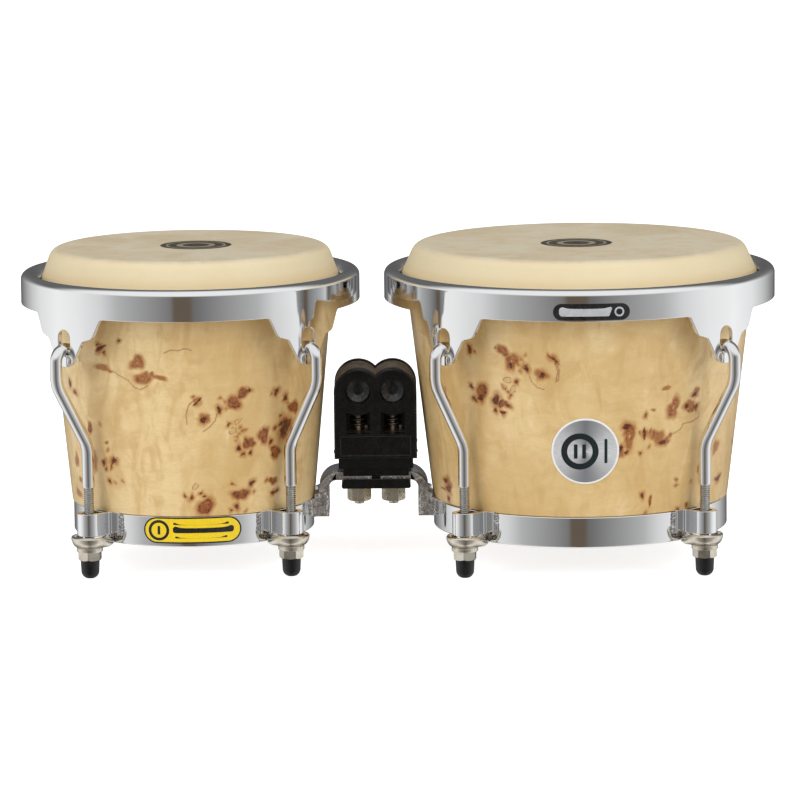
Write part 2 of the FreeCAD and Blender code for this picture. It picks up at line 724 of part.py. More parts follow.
    loop(s, [
        (off(-4.0), q("arm_foot")),
        (off(9.6), q("arm_foot")),
        (off(9.6), q("arm_bot") - 5.0, 5.0, -sgn),
        (off(14.6), q("arm_bot")),
        (bx - q("arm_gap") * sgn, q("arm_bot")),
        (bx - q("arm_gap") * sgn, q("arm_top")),
        (off(16.2), q("arm_top"), 12.8, sgn),
        (off(3.4), q("arm_top") - 12.8),
        (off(-4.0), q("ring_top") + 0.6),
    ])
    pad(arm, d + "_arm_pad", s, q("arm_half") * 2, both=True)
    s = new_sketch(arm, d + "_arm_seat", "XY_Plane", q("arm_foot") - 2)
    ring_hole(s, q(d + "_x"), 0, v("ring_r") + 0.02)
    a1 = pocket(arm, d + "_arm_scribe", s, q("ring_top") - q("arm_foot") + 30, flip=True)
    # above the ring the arm stands clear of the tapered shell
    s = new_sketch(arm, d + "_arm_clear", "XY_Plane", q("ring_top") + 0.1)
    ring_hole(s, q(d + "_x"), 0, v("shell_lo") + (v("shell_hi") - v("shell_lo")) * 0.125 + 0.15)
    pocket(arm, d + "_arm_relief", s, q("arm_top") - q("ring_top") + 4, flip=True)
    s = new_sketch(arm, d + "_arm_bolt", "XY_Plane", q("arm_bot") - 1)
    ring_hole(s, bx - q("lobe_dx") * sgn, 0, q("bolt_hole"))
    pocket(arm, d + "_arm_hole", s, q("arm_top") - q("arm_bot") + 2, flip=True)
    keep(arm, d + "_arm")


drum("macho")
drum("hembra")

# ---- centre block -------------------------------------------------------------------------------------------
bx, lz, lr, dx = q("block_x"), q("lobe_z"), q("lobe_rad"), q("lobe_dx")


def block_outline(s, inset, bottom, arc_notch=True):
    """Two round lobes over straight sides, about the block middle."""
    r = lr - inset
    half = dx + r
    notch = lz + qroot(r * r - dx * dx)
    loop(s, [
        (-half, bottom),
        (half, bottom),
        (half, lz, r, 1),
        (dx, lz + r, r, 1),
        (0, notch, r, 1),
        (-dx, lz + r, r, 1),
        (-half, lz),
    ])


def face_cuts(s):
    """Round sockets and arched windows of the covers."""
    for side in (1, -1):
        ring_hole(s, dx * side, lz, q("socket_rad"))
        wh = q("window_half")
        drop = lz - qroot(q("window_arc") * q("window_arc") - wh * wh)
        loop(s, [
            (dx * side - wh, q("window_bot")),
            (dx * side + wh, q("window_bot")),
            (dx * side + wh, drop, q("window_arc"), -1),
            (dx * side - wh, drop),
        ])


for label, sign in (("block_front_cover", -1), ("block_rear_cover", 1)):
    cover = new_body(label + "_body")
    # the front cover spans y = -block_half .. -block_half + cover_wall, the rear one is its mirror image
    if sign < 0:
        s = new_sketch(cover, label + "_outline", "XZ_Plane", q("block_half"))
    else:
        s = new_sketch(cover, label + "_outline", "XZ_Plane", q("cover_wall") - q("block_half"))
    block_outline(s, 0, q("cover_bot"))
    pad(cover, label + "_pad", s, q("cover_wall"), flip=True)
    s = new_sketch(cover, label + "_faces", "XZ_Plane", q("block_half") + 1 if sign < 0 else q("cover_wall") - q("block_half") + 1)
    face_cuts(s)
    pk = pocket(cover, label + "_openings", s, q("cover_wall") + 2)
    s = new_sketch(cover, label + "_panel_plan", "XZ_Plane", q("block_half") + 1 if sign < 0 else -q("block_half") + q("panel_sink"))
    ph = q("panel_half")
    loop(s, [(-ph, q("panel_bot")), (ph, q("panel_bot")), (ph, q("panel_top")), (-ph, q("panel_top"))])
    pp = pocket(cover, label + "_panel", s, q("panel_sink") + 1)
    doc.recompute()
    # soften the outside edge
    ysee = sign * q("block_half").value
    edges = []
    for i, e in enumerate(pp.Shape.Edges):
        b = e.BoundBox
        if b.YLength < 1e-6 and abs(b.YMin - ysee) < 1e-6:
            mid = e.valueAt((e.FirstParameter + e.LastParameter) / 2)
            inside = (
                abs(mid.x) < dx.value + lr.value - 0.5
                and mid.z > q("cover_bot").value + 0.5
                and min(math.hypot(mid.x - dx.value, mid.z - lz.value), math.hypot(mid.x + dx.value, mid.z - lz.value)) < lr.value - 0.5
            ) or (mid.z < lz.value and abs(mid.x) < dx.value + lr.value - 0.5 and mid.z > q("cover_bot").value + 0.5)
            if not inside:
                edges.append("Edge%d" % (i + 1))
    fl = cover.newObject("PartDesign::Fillet", label + "_soft")
    fl.Base = (pp, edges)
    fl.Radius = 1.3
    place(cover, bx)
    keep(cover, label)

# core: ribbed middle of the block, bored for the barrels, wells and bolts
core = new_body("block_core_body")
s = new_sketch(core, "core_outline", "XZ_Plane")
block_outline(s, q("core_inset"), q("cover_bot") - 0.5)
core_pad = pad(core, "core_pad", s, (q("block_half") - q("cover_wall")) * 2, both=True)
s = new_sketch(core, "core_foot_plan", "XZ_Plane")
ch = q("core_low_half")
loop(s, [(-ch, q("core_bot")), (ch, q("core_bot")), (ch, q("cover_bot") - 0.05), (-ch, q("cover_bot") - 0.05)])
pad(core, "core_foot", s, q("pad_depth") * 2.15, both=True)
s = new_sketch(core, "core_rib_plan", "XZ_Plane", q("rib_pitch") * 2.5 + q("rib_wall") / 2)
block_outline(s, 0.35, q("cover_bot") + 0.2)
rib = pad(core, "core_rib", s, q("rib_wall"), flip=True)
doc.recompute()
ribs = core.newObject("PartDesign::LinearPattern", "core_ribs")
ribs.Originals = [rib]
for o in core.Origin.OriginFeatures:
    if o.Role == "Y_Axis":
        ribs.Direction = (o, [""])
ribs.Mode = "Spacing" if hasattr(ribs, "Mode") else 0
try:
    bind(ribs, "Offset", q("rib_pitch"))
except Exception:
    ribs.Length = q("rib_pitch").value * 5
ribs.Occurrences = 6
core.Tip = ribs
doc.recompute()
s = new_sketch(core, "core_sockets", "XZ_Plane")
for side in (1, -1):
    ring_hole(s, dx * side, lz, q("socket_rad"))
pocket(core, "core_socket_bore", s, None, both=True)
s = new_sketch(core, "core_windows", "XZ_Plane")
for side in (1, -1):
    wh = q("window_half")
    drop = lz - qroot(q("window_arc") * q("window_arc") - wh * wh)
    loop(s, [
        (dx * side - wh, q("window_bot")),
        (dx * side + wh, q("window_bot")),
        (dx * side + wh, drop, q("window_arc"), -1),
        (dx * side - wh, drop),
    ])
pocket(core, "core_window_cut", s, None, both=True)
s = new_sketch(core, "core_bolt_holes", "XY_Plane", q("core_bot") - 1)
for side in (1, -1):
    ring_hole(s, dx * side, 0, q("bolt_hole"))
pocket(core, "core_bolt_bore", s, lz - q("core_bot"), flip=True)
place(core, bx)
keep(core, "block_core")

# barrels: round cross nuts in the sockets that the clamp bolts screw into, with dished ends
barrels = []
for word, side in (("left", -1), ("right", 1)):
    b = new_body("block_barrel_" + word + "_body")
    s = new_sketch(b, "barrel_plan_" + word, "XZ_Plane")
    ring_hole(s, 0, 0, q("barrel_rad"))
    pad(b, "barrel_pad_" + word, s, q("barrel_half") * 2, both=True)
    s = new_sketch(b, "barrel_bolt_" + word, "XY_Plane", -q("barrel_rad") - 1)
    ring_hole(s, 0, 0, q("bolt_rad") + 0.05)
    pocket(b, "barrel_tap_" + word, s, None, flip=True)
    b.Placement = Placement(Vector((bx + dx * side).value, 0, lz.value), Rotation())
    bind(b, "Placement.Base.x", bx + dx * side)
    bind(b, "Placement.Base.z", lz)
    keep(b, "block_barrel_" + word)

# clamp bolts, nuts and washers
for word, side in (("left", -1), ("right", 1)):
    b = new_body("clamp_bolt_" + word + "_body")
    s = new_sketch(b, "clamp_bolt_plan_" + word, "XY_Plane", q("bolt_bot"))
    ring_hole(s, 0, 0, q("bolt_rad"))
    bp = pad(b, "clamp_bolt_pad_" + word, s, q("bolt_top") - q("bolt_bot"))
    doc.recompute()
    ch = b.newObject("PartDesign::Chamfer", "clamp_bolt_ends_" + word)
    ch.Base = (bp, ["Edge%d" % (i + 1) for i, e in enumerate(bp.Shape.Edges) if e.BoundBox.ZLength < 1e-6])
    ch.Size = 0.6
    place(b, bx + dx * side)
    keep(b, "clamp_bolt_" + word)

    n = new_body("clamp_nut_" + word + "_body")
    s = new_sketch(n, "clamp_nut_plan_" + word, "XY_Plane", q("cnut_bot"))
    hexagon(s, q("cnut_flats"), 24.0)
    ring_hole(s, 0, 0, q("bolt_rad") + 0.05)
    pad(n, "clamp_nut_pad_" + word, s, q("cnut_top") - q("cnut_bot"))
    place(n, bx + dx * side)
    keep(n, "clamp_nut_" + word)

    w = doc.addObject("Part::Cut", "clamp_washer_cut_" + word)
    wa = doc.addObject("Part::Cylinder", "clamp_washer_disc_" + word)
    wb = doc.addObject("Part::Cylinder", "clamp_washer_hole_" + word)
    bind(wa, "Radius", q("cwasher_rad"))
    bind(wa, "Height", q("plate_bot") - q("cnut_top"))
    bind(wa, "Placement.Base.z", q("cnut_top"))
    bind(wb, "Radius", q("bolt_hole"))
    bind(wb, "Height", q("plate_bot") - q("cnut_top") + 2)
    bind(wb, "Placement.Base.z", q("cnut_top") - 1)
    w.Base, w.Tool = wa, wb
    place(w, bx + dx * side)
    keep(w, "clamp_washer_" + word)

    # coil spring round the bolt, seen in the window
    hx = doc.addObject("Part::Helix", "spring_path_" + word)
    bind(hx, "Radius", q("spring_rad"))
    bind(hx, "Pitch", q("spring_pitch"))
    bind(hx, "Height", q("spring_pitch") * 3.5)
    pr = doc.addObject("Part::Circle", "spring_wire_" + word)
    bind(pr, "Radius", q("spring_wire"))
    pr.Placement = Placement(Vector(q("spring_rad").value, 0, 0), Rotation(Vector(1, 0, 0), 90))
    bind(pr, "Placement.Base.x", q("spring_rad"))
    sw = doc.addObject("Part::Sweep", "spring_sweep_" + word)
    sw.Sections = [pr]
    sw.Spine = (hx, ["Edge1"])
    sw.Solid = True
    sw.Frenet = True
    sw.Placement = Placement(Vector((bx + dx * side).value, 0, (q("spring_seat") + q("spring_wire")).value), Rotation())
    bind(sw, "Placement.Base.x", bx + dx * side)
    bind(sw, "Placement.Base.z", q("spring_seat") + q("spring_wire") + 0.05)
    keep(sw, "block_spring_" + word)

# upper pad and clamp plate, channelled for the arms
for label, lo, hi, half, sink_lo, sink_hi in (
    ("block_upper_pad", q("pad_bot"), q("pad_top"), q("pad_half"), q("pad_bot") - 1, q("arm_top") + 0.05),
    ("block_clamp_plate", q("plate_bot"), q("plate_top"), q("plate_half"), q("arm_bot") - 0.05, q("plate_top") + 1),
):
    b = new_body(label + "_body")
    s = new_sketch(b, label + "_plan", "XZ_Plane")
    if label == "block_clamp_plate":
        loop(s, [(-half, lo + 1.0), (-half + 1.0, lo), (half - 1.0, lo), (half, lo + 1.0), (half - 1.3, hi), (-half + 1.3, hi)])
    else:
        loop(s, [(-half, lo), (half, lo), (half, hi - 0.8), (half - 0.8, hi), (-half + 0.8, hi), (-half, hi - 0.8)])
    pad(b, label + "_pad", s, q("pad_depth") * 2, both=True)
    s = new_sketch(b, label + "_channel_plan", "YZ_Plane")
    aw = q("arm_half") + 0.15
    loop(s, [(-aw, sink_lo), (aw, sink_lo), (aw, sink_hi), (-aw, sink_hi)])
    pocket(b, label + "_channel", s, None, both=True)
    s = new_sketch(b, label + "_hole_plan", "XY_Plane", lo - 1)
    for side in (1, -1):
        ring_hole(s, dx * side, 0, q("bolt_hole"))
    pocket(b, label + "_holes", s, hi - lo + 2, flip=True)
    place(b, bx)
    keep(b, label)

# ---- trim ---------------------------------------------------------------------------------------------------
# round badge, curved to the taper of the large shell
ax = q("hembra_x")
slope = (q("hembra_shell_hi") - q("hembra_shell_lo")) / (q("shell_top") - q("shell_round") - q("ring_top") - 0.2)
zlo, zhi = q("badge_z") - 24, q("badge_z") + 24
r_lo = q("hembra_shell_lo") + slope * (zlo - q("ring_top") - 0.2)
r_hi = q("hembra_shell_lo") + slope * (zhi - q("ring_top") - 0.2)
outer = doc.addObject("Part::Cone", "badge_outer")
inner = doc.addObject("Part::Cone", "badge_inner")
for c, extra in ((outer, q("badge_wall") + 0.02), (inner, Q.of(0.02))):
    bind(c, "Radius1", r_lo + extra)
    bind(c, "Radius2", r_hi + extra)
    bind(c, "Height", zhi - zlo)
    bind(c, "Placement.Base.x", ax)
    bind(c, "Placement.Base.z", zlo)
disc = doc.addObject("Part::Cylinder", "badge_disc")
bind(disc, "Radius", q("badge_rad"))
bind(disc, "Height", q("hembra_rim_r"))
disc.Placement = Placement(Vector((ax + q("badge_x")).value, 0, q("badge_z").value), Rotation(Vector(1, 0, 0), 90))
bind(disc, "Placement.Base.x", ax + q("badge_x"))
bind(disc, "Placement.Base.z", q("badge_z"))
wallc = doc.addObject("Part::Cut", "badge_wall_cut")
wallc.Base, wallc.Tool = outer, inner
badge = doc.addObject("Part::Common", "badge_common")
badge.Base, badge.Tool = wallc, disc
keep(badge, "hembra_badge")

# pill-shaped labels on the large rim and on the small bottom ring
for label, d, rad, half, high, zc, xo in (
    ("hembra_rim_label", "hembra", q("hembra_rim_r"), q("rlabel_half"), q("rlabel_rad"), q("rlabel_z"), q("rlabel_x")),
    ("macho_ring_label", "macho", q("macho_ring_r"), q("glabel_half"), q("glabel_rad"), q("glabel_z"), q("glabel_x")),
):
    pill = new_body(label + "_pill_body")
    s = new_sketch(pill, label + "_pill_plan", "XZ_Plane", q("macho_ring_r") * 0.6)
    flat = half - high
    loop(s, [
        (xo - flat, zc - high),
        (xo + flat, zc - high, high, 1),
        (xo + half, zc, high, 1),
        (xo + flat, zc + high),
        (xo - flat, zc + high, high, 1),
        (xo - half, zc, high, 1),
    ])
    pad(pill, label + "_pill_pad", s, q("hembra_rim_r"))
    place(pill, q(d + "_x"))
    oc = doc.addObject("Part::Cylinder", label + "_out")
    ic = doc.addObject("Part::Cylinder", label + "_in")
    for c, extra in ((oc, q("label_wall") + 0.01), (ic, Q.of(0.01))):
        bind(c, "Radius", rad + extra)
        bind(c, "Height", high * 4)
        bind(c, "Placement.Base.x", q(d + "_x"))
        bind(c, "Placement.Base.z", zc - high * 2)
    sk = doc.addObject("Part::Cut", label + "_skin")
    sk.Base, sk.Tool = oc, ic
    lab = doc.addObject("Part::Common", label + "_common")
    lab.Base, lab.Tool = sk, pill
    keep(lab, label)

doc.recompute()

# ---- checks and files ---------------------------------------------------------------------------------------
bad = []
for o in doc.Objects:
    if "Invalid" in o.State or "Error" in o.State:
        bad.append(o.Name + " " + str(o.State))
if bad:
    raise RuntimeError("failed objects: " + "; ".join(bad[:20]))
labels = set()
for o in NODES:
    sh = o.Shape
    if sh.isNull() or not sh.isValid() or not sh.Solids:
        raise RuntimeError(o.Label + " has no valid solid")
    if o.Label in labels:
        raise RuntimeError(o.Label + " is used twice")
    labels.add(o.Label)
os.makedirs("parts", exist_ok=True)
for o in NODES:
    o.Shape.exportStep(os.path.join("parts", o.Label + ".step"))
    b = o.Shape.BoundBox
    print("%-28s solids %d  vol %9.1f  x %.2f..%.2f  y %.2f..%.2f  z %.2f..%.2f" % (
        o.Label, len(o.Shape.Solids), o.Shape.Volume, b.XMin, b.XMax, b.YMin, b.YMax, b.ZMin, b.ZMax))
print(len(NODES), "nodes")
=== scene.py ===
import math

import bpy
import numpy as np
from mathutils import Matrix, Vector
from mathutils.geometry import delaunay_2d_cdt, tessellate_polygon


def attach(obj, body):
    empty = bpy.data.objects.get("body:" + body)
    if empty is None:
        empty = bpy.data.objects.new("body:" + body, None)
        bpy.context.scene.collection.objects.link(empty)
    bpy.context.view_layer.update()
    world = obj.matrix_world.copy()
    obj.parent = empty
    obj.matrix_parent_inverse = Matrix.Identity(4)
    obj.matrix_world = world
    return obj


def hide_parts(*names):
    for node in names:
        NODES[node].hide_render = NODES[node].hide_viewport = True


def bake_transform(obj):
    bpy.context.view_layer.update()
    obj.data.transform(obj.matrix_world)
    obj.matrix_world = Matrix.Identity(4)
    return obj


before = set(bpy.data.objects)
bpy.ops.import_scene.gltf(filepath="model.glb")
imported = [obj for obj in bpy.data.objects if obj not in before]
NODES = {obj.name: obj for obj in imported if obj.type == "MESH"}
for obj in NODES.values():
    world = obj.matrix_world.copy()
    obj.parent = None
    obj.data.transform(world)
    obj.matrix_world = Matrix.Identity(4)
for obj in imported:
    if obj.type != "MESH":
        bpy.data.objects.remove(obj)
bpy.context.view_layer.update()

# Bongo drums: the detailed visual model. Lengths in this file are millimetres in the frame's axes and are
# turned into metres when a mesh is made.

RNG = np.random.default_rng(7)

# ---- sizes shared with the frame ------------------------------------------------------------------------------
DRUMS = {
    "macho": dict(x=-127.5, ring=74.2, lo=74.9, hi=89.0, rim=104.0, lip=92.5, hoop=93.4, hook_hi=110.6, hook_lo=86.5, side=1,
                  bear=79.0, lc=0.94264, ls=0.33381, collar=91.0),
    "hembra": dict(x=111.5, ring=90.6, lo=90.9, hi=108.3, rim=120.0, lip=109.5, hoop=110.4, hook_hi=126.6, hook_lo=102.6, side=-1,
                   bear=95.6, lc=0.90996, ls=0.41469, collar=108.9),
}
CORNERS = [("rear_right", 45.0), ("rear_left", 135.0), ("front_left", 225.0), ("front_right", 315.0)]
BLOCK_X, LOBE_DX, LOBE_Z = -14.6, 10.6, 106.4


# ---- mesh helpers ---------------------------------------------------------------------------------------------
def prof(pts, closed=True, soft=0.25, turn=9.0):
    """(x, y) or (x, y, round) corners, metal on the left of travel, to points and outward normals."""
    n = len(pts)
    xy, nn = [], []
    P = [np.array(p[:2], float) for p in pts]
    R = [float(p[2]) if len(p) > 2 else soft for p in pts]
    for i in range(n):
        if not closed and i in (0, n - 1):
            d = P[1] - P[0] if i == 0 else P[-1] - P[-2]
            d = d / np.linalg.norm(d)
            xy.append(P[i])
            nn.append(np.array([d[1], -d[0]]))
            continue
        a, b, c = P[i - 1], P[i], P[(i + 1) % n]
        u, v = a - b, c - b
        lu, lv = np.linalg.norm(u), np.linalg.norm(v)
        u, v = u / lu, v / lv
        cosang = float(np.clip(u @ v, -1, 1))
        ang = math.acos(cosang)
        if math.pi - ang < 1e-4:
            xy.append(b)
            nn.append(np.array([v[1], -v[0]]))
            continue
        half = ang / 2
        r = min(R[i], 0.49 * min(lu, lv) * math.tan(half) if R[i] <= soft + 1e-9 else R[i])
        t = r / math.tan(half)
        mid = (u + v) / np.linalg.norm(u + v)
        centre = b + mid * (r / math.sin(half))
        p0, p1 = b + u * t, b + v * t
        left = (-u[0]) * v[1] - (-u[1]) * v[0] > 0
        a0 = math.atan2(*(p0 - centre)[::-1])
        a1 = math.atan2(*(p1 - centre)[::-1])
        da = (a1 - a0 + math.pi) % (2 * math.pi) - math.pi
        steps = max(2, int(math.ceil(abs(math.degrees(da)) / turn)))
        for k in range(steps + 1):
            q = a0 + da * k / steps
            d = np.array([math.cos(q), math.sin(q)])
            xy.append(centre + d * r)
            nn.append(d if left else -d)
    return np.array(xy), np.array(nn)


def spread(xy, nn, step, lo=-1e9, hi=1e9):
    """Adds points on the long runs whose ends lie between heights lo and hi."""
    out, on = [xy[0]], [nn[0]]
    for i in range(1, len(xy)):
        a, b = xy[i - 1], xy[i]
        d = np.linalg.norm(b - a)
        if d > step * 1.5 and lo <= min(a[1], b[1]) and max(a[1], b[1]) <= hi:
            k = int(math.ceil(d / step))
            for j in range(1, k):
                out.append(a + (b - a) * j / k)
                on.append(nn[i - 1] + (nn[i] - nn[i - 1]) * j / k)
        out.append(b)
        on.append(nn[i])
    return np.array(out), np.array(on)


class Shape:
    """Vertices in mm, faces and one outward normal for each vertex."""

    def __init__(self):
        self.V, self.N, self.F, self.n = [], [], [], 0

    def add(self, V, N, *faces):
        V, N = np.asarray(V, float), np.asarray(N, float)
        self.V.append(V)
        self.N.append(N)
        for f in faces:
            f = np.asarray(f, int)
            if len(f):
                self.F.append(f + self.n)
        self.n += len(V)
        return self

    def merge(self, other, M=None, x=0.0, y=0.0, z=0.0):
        V = np.concatenate(other.V)
        N = np.concatenate(other.N)
        if M is not None:
            V, N = V @ M.T, N @ M.T
        return self.add(V + np.array([x, y, z]), N, *other.F)

    def arrays(self):
        return np.concatenate(self.V), np.concatenate(self.N)


def rot_z(deg):
    a = math.radians(deg)
    return np.array([[math.cos(a), -math.sin(a), 0], [math.sin(a), math.cos(a), 0], [0, 0, 1]])


def make(name, shape, material, weld=False, fields=None):
    """A Blender mesh object from a Shape, its faces turned to agree with the normals."""
    V, N = shape.arrays()
    N = N / np.maximum(np.linalg.norm(N, axis=1, keepdims=True), 1e-9)
    index = np.arange(len(V))
    if weld:
        key = np.round(V * 400).astype(np.int64)
        _, first, back = np.unique(key, axis=0, return_index=True, return_inverse=True)
        back = back.reshape(-1)
        index = back
        V, N = V[first], N[first]
    faces = []
    for f in shape.F:
        f = index[f]
        if f.shape[1] == 4:
            same = [f[:, i] == f[:, (i + 1) % 4] for i in range(4)]
            bad = np.zeros(len(f), bool)
            for s in same:
                bad |= s
            t = []
            for row in f[bad]:
                r = [row[0]]
                for v in row[1:]:
                    if v != r[-1]:
                        r.append(v)
                if r[-1] == r[0]:
                    r.pop()
                if len(set(r)) == 3 and len(r) == 3:
                    t.append(r)
            f = f[~bad]
            if t:
                faces.append(np.array(t))
        else:
            ok = (f[:, 0] != f[:, 1]) & (f[:, 1] != f[:, 2]) & (f[:, 0] != f[:, 2])
            f = f[ok]
        if len(f):
            faces.append(f)
    turned = []
    for f in faces:
        p = V[f]
        if f.shape[1] == 4:
            g = np.cross(p[:, 2] - p[:, 0], p[:, 3] - p[:, 1])
        else:
            g = np.cross(p[:, 1] - p[:, 0], p[:, 2] - p[:, 0])
        area = np.linalg.norm(g, axis=1)
        f, g = f[area > 1e-7], g[area > 1e-7]
        flip = (g * N[f].sum(1)).sum(1) < 0
        f = f.copy()
        f[flip] = f[flip][:, ::-1]
        turned.append(f)
    loops = np.concatenate([f.ravel() for f in turned]).astype(np.int32)
    totals = np.concatenate([np.full(len(f), f.shape[1]) for f in turned])
    starts = np.concatenate([[0], np.cumsum(totals)[:-1]]).astype(np.int32)
    me = bpy.data.meshes.new(name)
    me.vertices.add(len(V))
    me.vertices.foreach_set("co", (V * 0.001).astype(np.float32).ravel())
    me.loops.add(len(loops))
    me.loops.foreach_set("vertex_index", loops)
    me.polygons.add(len(starts))
    me.polygons.foreach_set("loop_start", starts)
    me.polygons.foreach_set("use_smooth", np.ones(len(starts), bool))
    me.update(calc_edges=True)
    me.validate()
    me.normals_split_custom_set_from_vertices(N.astype(np.float32))
    for key, values in (fields or {}).items():
        a = me.attributes.new(key, "FLOAT", "POINT")
        a.data.foreach_set("value", np.asarray(values(V) if callable(values) else values, np.float32))
    me.materials.append(material)
    o = bpy.data.objects.new(name, me)
    bpy.context.scene.collection.objects.link(o)
    return o


def lathe(xy, nn, n=192, closed=True, x=0.0, y=0.0, start=0.0, wobble=None):
    """Turns a (radius, z) profile round a vertical axis."""
    a = np.radians(start) + np.arange(n) * 2 * math.pi / n
    c, s = np.cos(a), np.sin(a)
    m = len(xy)
    r, z = xy[:, 0][:, None], xy[:, 1][:, None]
    if wobble is not None:
        dr, dz = wobble(xy, a)
        r, z = r + dr, z + dz
    V = np.stack([r * c + x, r * s + y, z + 0 * c], -1).reshape(-1, 3)
    N = np.stack([nn[:, 0][:, None] * c, nn[:, 0][:, None] * s, nn[:, 1][:, None] + 0 * c], -1).reshape(-1, 3)
    i = np.arange(m if closed else m - 1)
    j = np.arange(n)
    I, J = np.meshgrid(i, j, indexing="ij")
    I2, J2 = (I + 1) % m, (J + 1) % n
    Q = np.stack([I * n + J, I * n + J2, I2 * n + J2, I2 * n + J], -1).reshape(-1, 4)
    return Shape().add(V, N, Q)


def tube(path, radius, n=20, closed=False, cap=(0.9, 0.9), lumps=None):
    """A round bar along a 3-D path, its ends rounded by cap[0] and cap[1]."""
    P = np.asarray(path, float)
    T = np.gradient(P, axis=0)
    if closed:
        T = np.roll(P, -1, 0) - np.roll(P, 1, 0)
    T /= np.linalg.norm(T, axis=1, keepdims=True)
    U = np.zeros_like(P)
    ref = np.array([0, 1.0, 0]) if abs(T[0][1]) < 0.9 else np.array([1.0, 0, 0])
    u = ref - T[0] * (ref @ T[0])
    U[0] = u / np.linalg.norm(u)
    for i in range(1, len(P)):
        u = U[i - 1] - T[i] * (U[i - 1] @ T[i])
        U[i] = u / np.linalg.norm(u)
    W = np.cross(T, U)
    a = np.arange(n) * 2 * math.pi / n
    D = U[:, None, :] * np.cos(a)[None, :, None] + W[:, None, :] * np.sin(a)[None, :, None]
    R = np.full((len(P), n), float(radius)) if not callable(radius) else radius(len(P), n)
    rows, norms = [], []
    if not closed and cap[0]:
        b = cap[0]
        for k in range(4):
            q = k / 4 * math.pi / 2
            rows.append(P[0] - T[0] * b * (math.cos(q)) + T[0] * 0 + D[0] * (R[0][:, None] - b + b * math.sin(q)) if True else None)
            norms.append(-T[0] * math.cos(q) + D[0] * math.sin(q))
    for i in range(len(P)):
        rows.append(P[i] + D[i] * R[i][:, None])
        norms.append(D[i])
    if not closed and cap[1]:
        b = cap[1]
        for k in range(3, -1, -1):
            q = k / 4 * math.pi / 2
            rows.append(P[-1] + T[-1] * b * math.cos(q) + D[-1] * (R[-1][:, None] - b + b * math.sin(q)))
            norms.append(T[-1] * math.cos(q) + D[-1] * math.sin(q))
    m = len(rows)
    V = np.concatenate(rows)
    N = np.concatenate([np.broadcast_to(v, (n, 3)) for v in norms])
    I, J = np.meshgrid(np.arange(m if closed else m - 1), np.arange(n), indexing="ij")
    I2, J2 = (I + 1) % m, (J + 1) % n
    Q = np.stack([I * n + J, I * n + J2, I2 * n + J2, I2 * n + J], -1).reshape(-1, 4)
    s = Shape().add(V, N, Q)
    if not closed:
        for row, t, b, p in ((0, -T[0], cap[0], P[0]), (m - 1, T[-1], cap[1], P[-1])):
            ring = V[row * n:(row + 1) * n]
            centre = p + t * b
            VV = np.concatenate([ring, [centre]])
            s.add(VV, np.broadcast_to(t, (n + 1, 3)), np.stack([np.arange(n), (np.arange(n) + 1) % n, np.full(n, n)], -1))
    return s


def stack(outline, normals, levels, bottom=True, top=True):
    """Lofts a closed plan outline through (inset, z, tilt) levels; tilt is the normal's rise in degrees."""
    m = len(outline)
    rows, norms = [], []
    for inset, z, tilt in levels:
        t = math.radians(tilt)
        p = outline - normals * inset
        rows.append(np.column_stack([p, np.full(m, z) if np.isscalar(z) else z]))
        norms.append(np.column_stack([normals * math.cos(t), np.full(m, math.sin(t))]))
    V, N = np.concatenate(rows), np.concatenate(norms)
    I, J = np.meshgrid(np.arange(len(levels) - 1), np.arange(m), indexing="ij")
    J2 = (J + 1) % m
    Q = np.stack([I * m + J, I * m + J2, (I + 1) * m + J2, (I + 1) * m + J], -1).reshape(-1, 4)
    s = Shape().add(V, N, Q)
    for on, row, up in ((bottom, 0, -1.0), (top, len(levels) - 1, 1.0)):
        if on:
            ring = V[row * m:(row + 1) * m]
            tris = tessellate_polygon([[Vector(p) for p in ring]])
            s.add(ring, np.broadcast_to([0, 0, up], (m, 3)), np.array([list(t) for t in tris]))
    return s


def edge_levels(z0, z1, b, steps=4):
    """Levels of a slab from z0 to z1 with edges rounded by b."""
    out = []
    for k in range(steps + 1):
        q = math.pi / 2 * k / steps
        out.append((b * (1 - math.sin(q)), z0 + b * (1 - math.cos(q)), -90 + math.degrees(q)))
    for k in range(steps + 1):
        q = math.pi / 2 * k / steps
        out.append((b * (1 - math.cos(q)), z1 - b * (1 - math.sin(q)), math.degrees(q)))
    return out


def inside(poly, pts):
    """Even-odd test of points in a polygon."""
    x, y = pts[:, 0], pts[:, 1]
    res = np.zeros(len(pts), bool)
    n = len(poly)
    for i in range(n):
        x0, y0 = poly[i - 1]
        x1, y1 = poly[i]
        if y0 == y1:
            continue
        hit = ((y0 > y) != (y1 > y)) & (x < (x1 - x0) * (y - y0) / (y1 - y0) + x0)
        res ^= hit
    return res


def fill(border, holes, grid):
    """Triangles of a flat region with holes, with inner points; returns points and triangles."""
    pts = [tuple(p) for p in border]
    edges = [(i, (i + 1) % len(border)) for i in range(len(border))]
    for h in holes:
        k = len(pts)
        pts += [tuple(p) for p in h]
        edges += [(k + i, k + (i + 1) % len(h)) for i in range(len(h))]
    fixed = len(pts)
    g = np.asarray(grid, float)
    if len(g):
        keepers = inside(border, g)
        for h in holes:
            keepers &= ~inside(h, g)
        g = g[keepers]
        B = np.array(pts)
        d = np.sqrt(((g[:, None, :] - B[None, :, :]) ** 2).sum(-1)).min(1) if len(g) else np.zeros(0)
        g = g[d > 0.7]
        pts += [tuple(p) for p in g]
    v, e, f, ov, oe, of = delaunay_2d_cdt([Vector(p) for p in pts], edges, [], 1, 1e-6, True)
    back = [min(o) if len(o) else None for o in ov]
    P = np.array(pts)
    tris = []
    for face in f:
        idx = [back[i] for i in face]
        if None in idx or len(set(idx)) < 3:
            continue
        for k in range(1, len(idx) - 1):
            tris.append((idx[0], idx[k], idx[k + 1]))
    tris = np.array(tris)
    c = P[tris].mean(1)
    ok = inside(border, c)
    for h in holes:
        ok &= ~inside(h, c)
    return P, tris[ok]


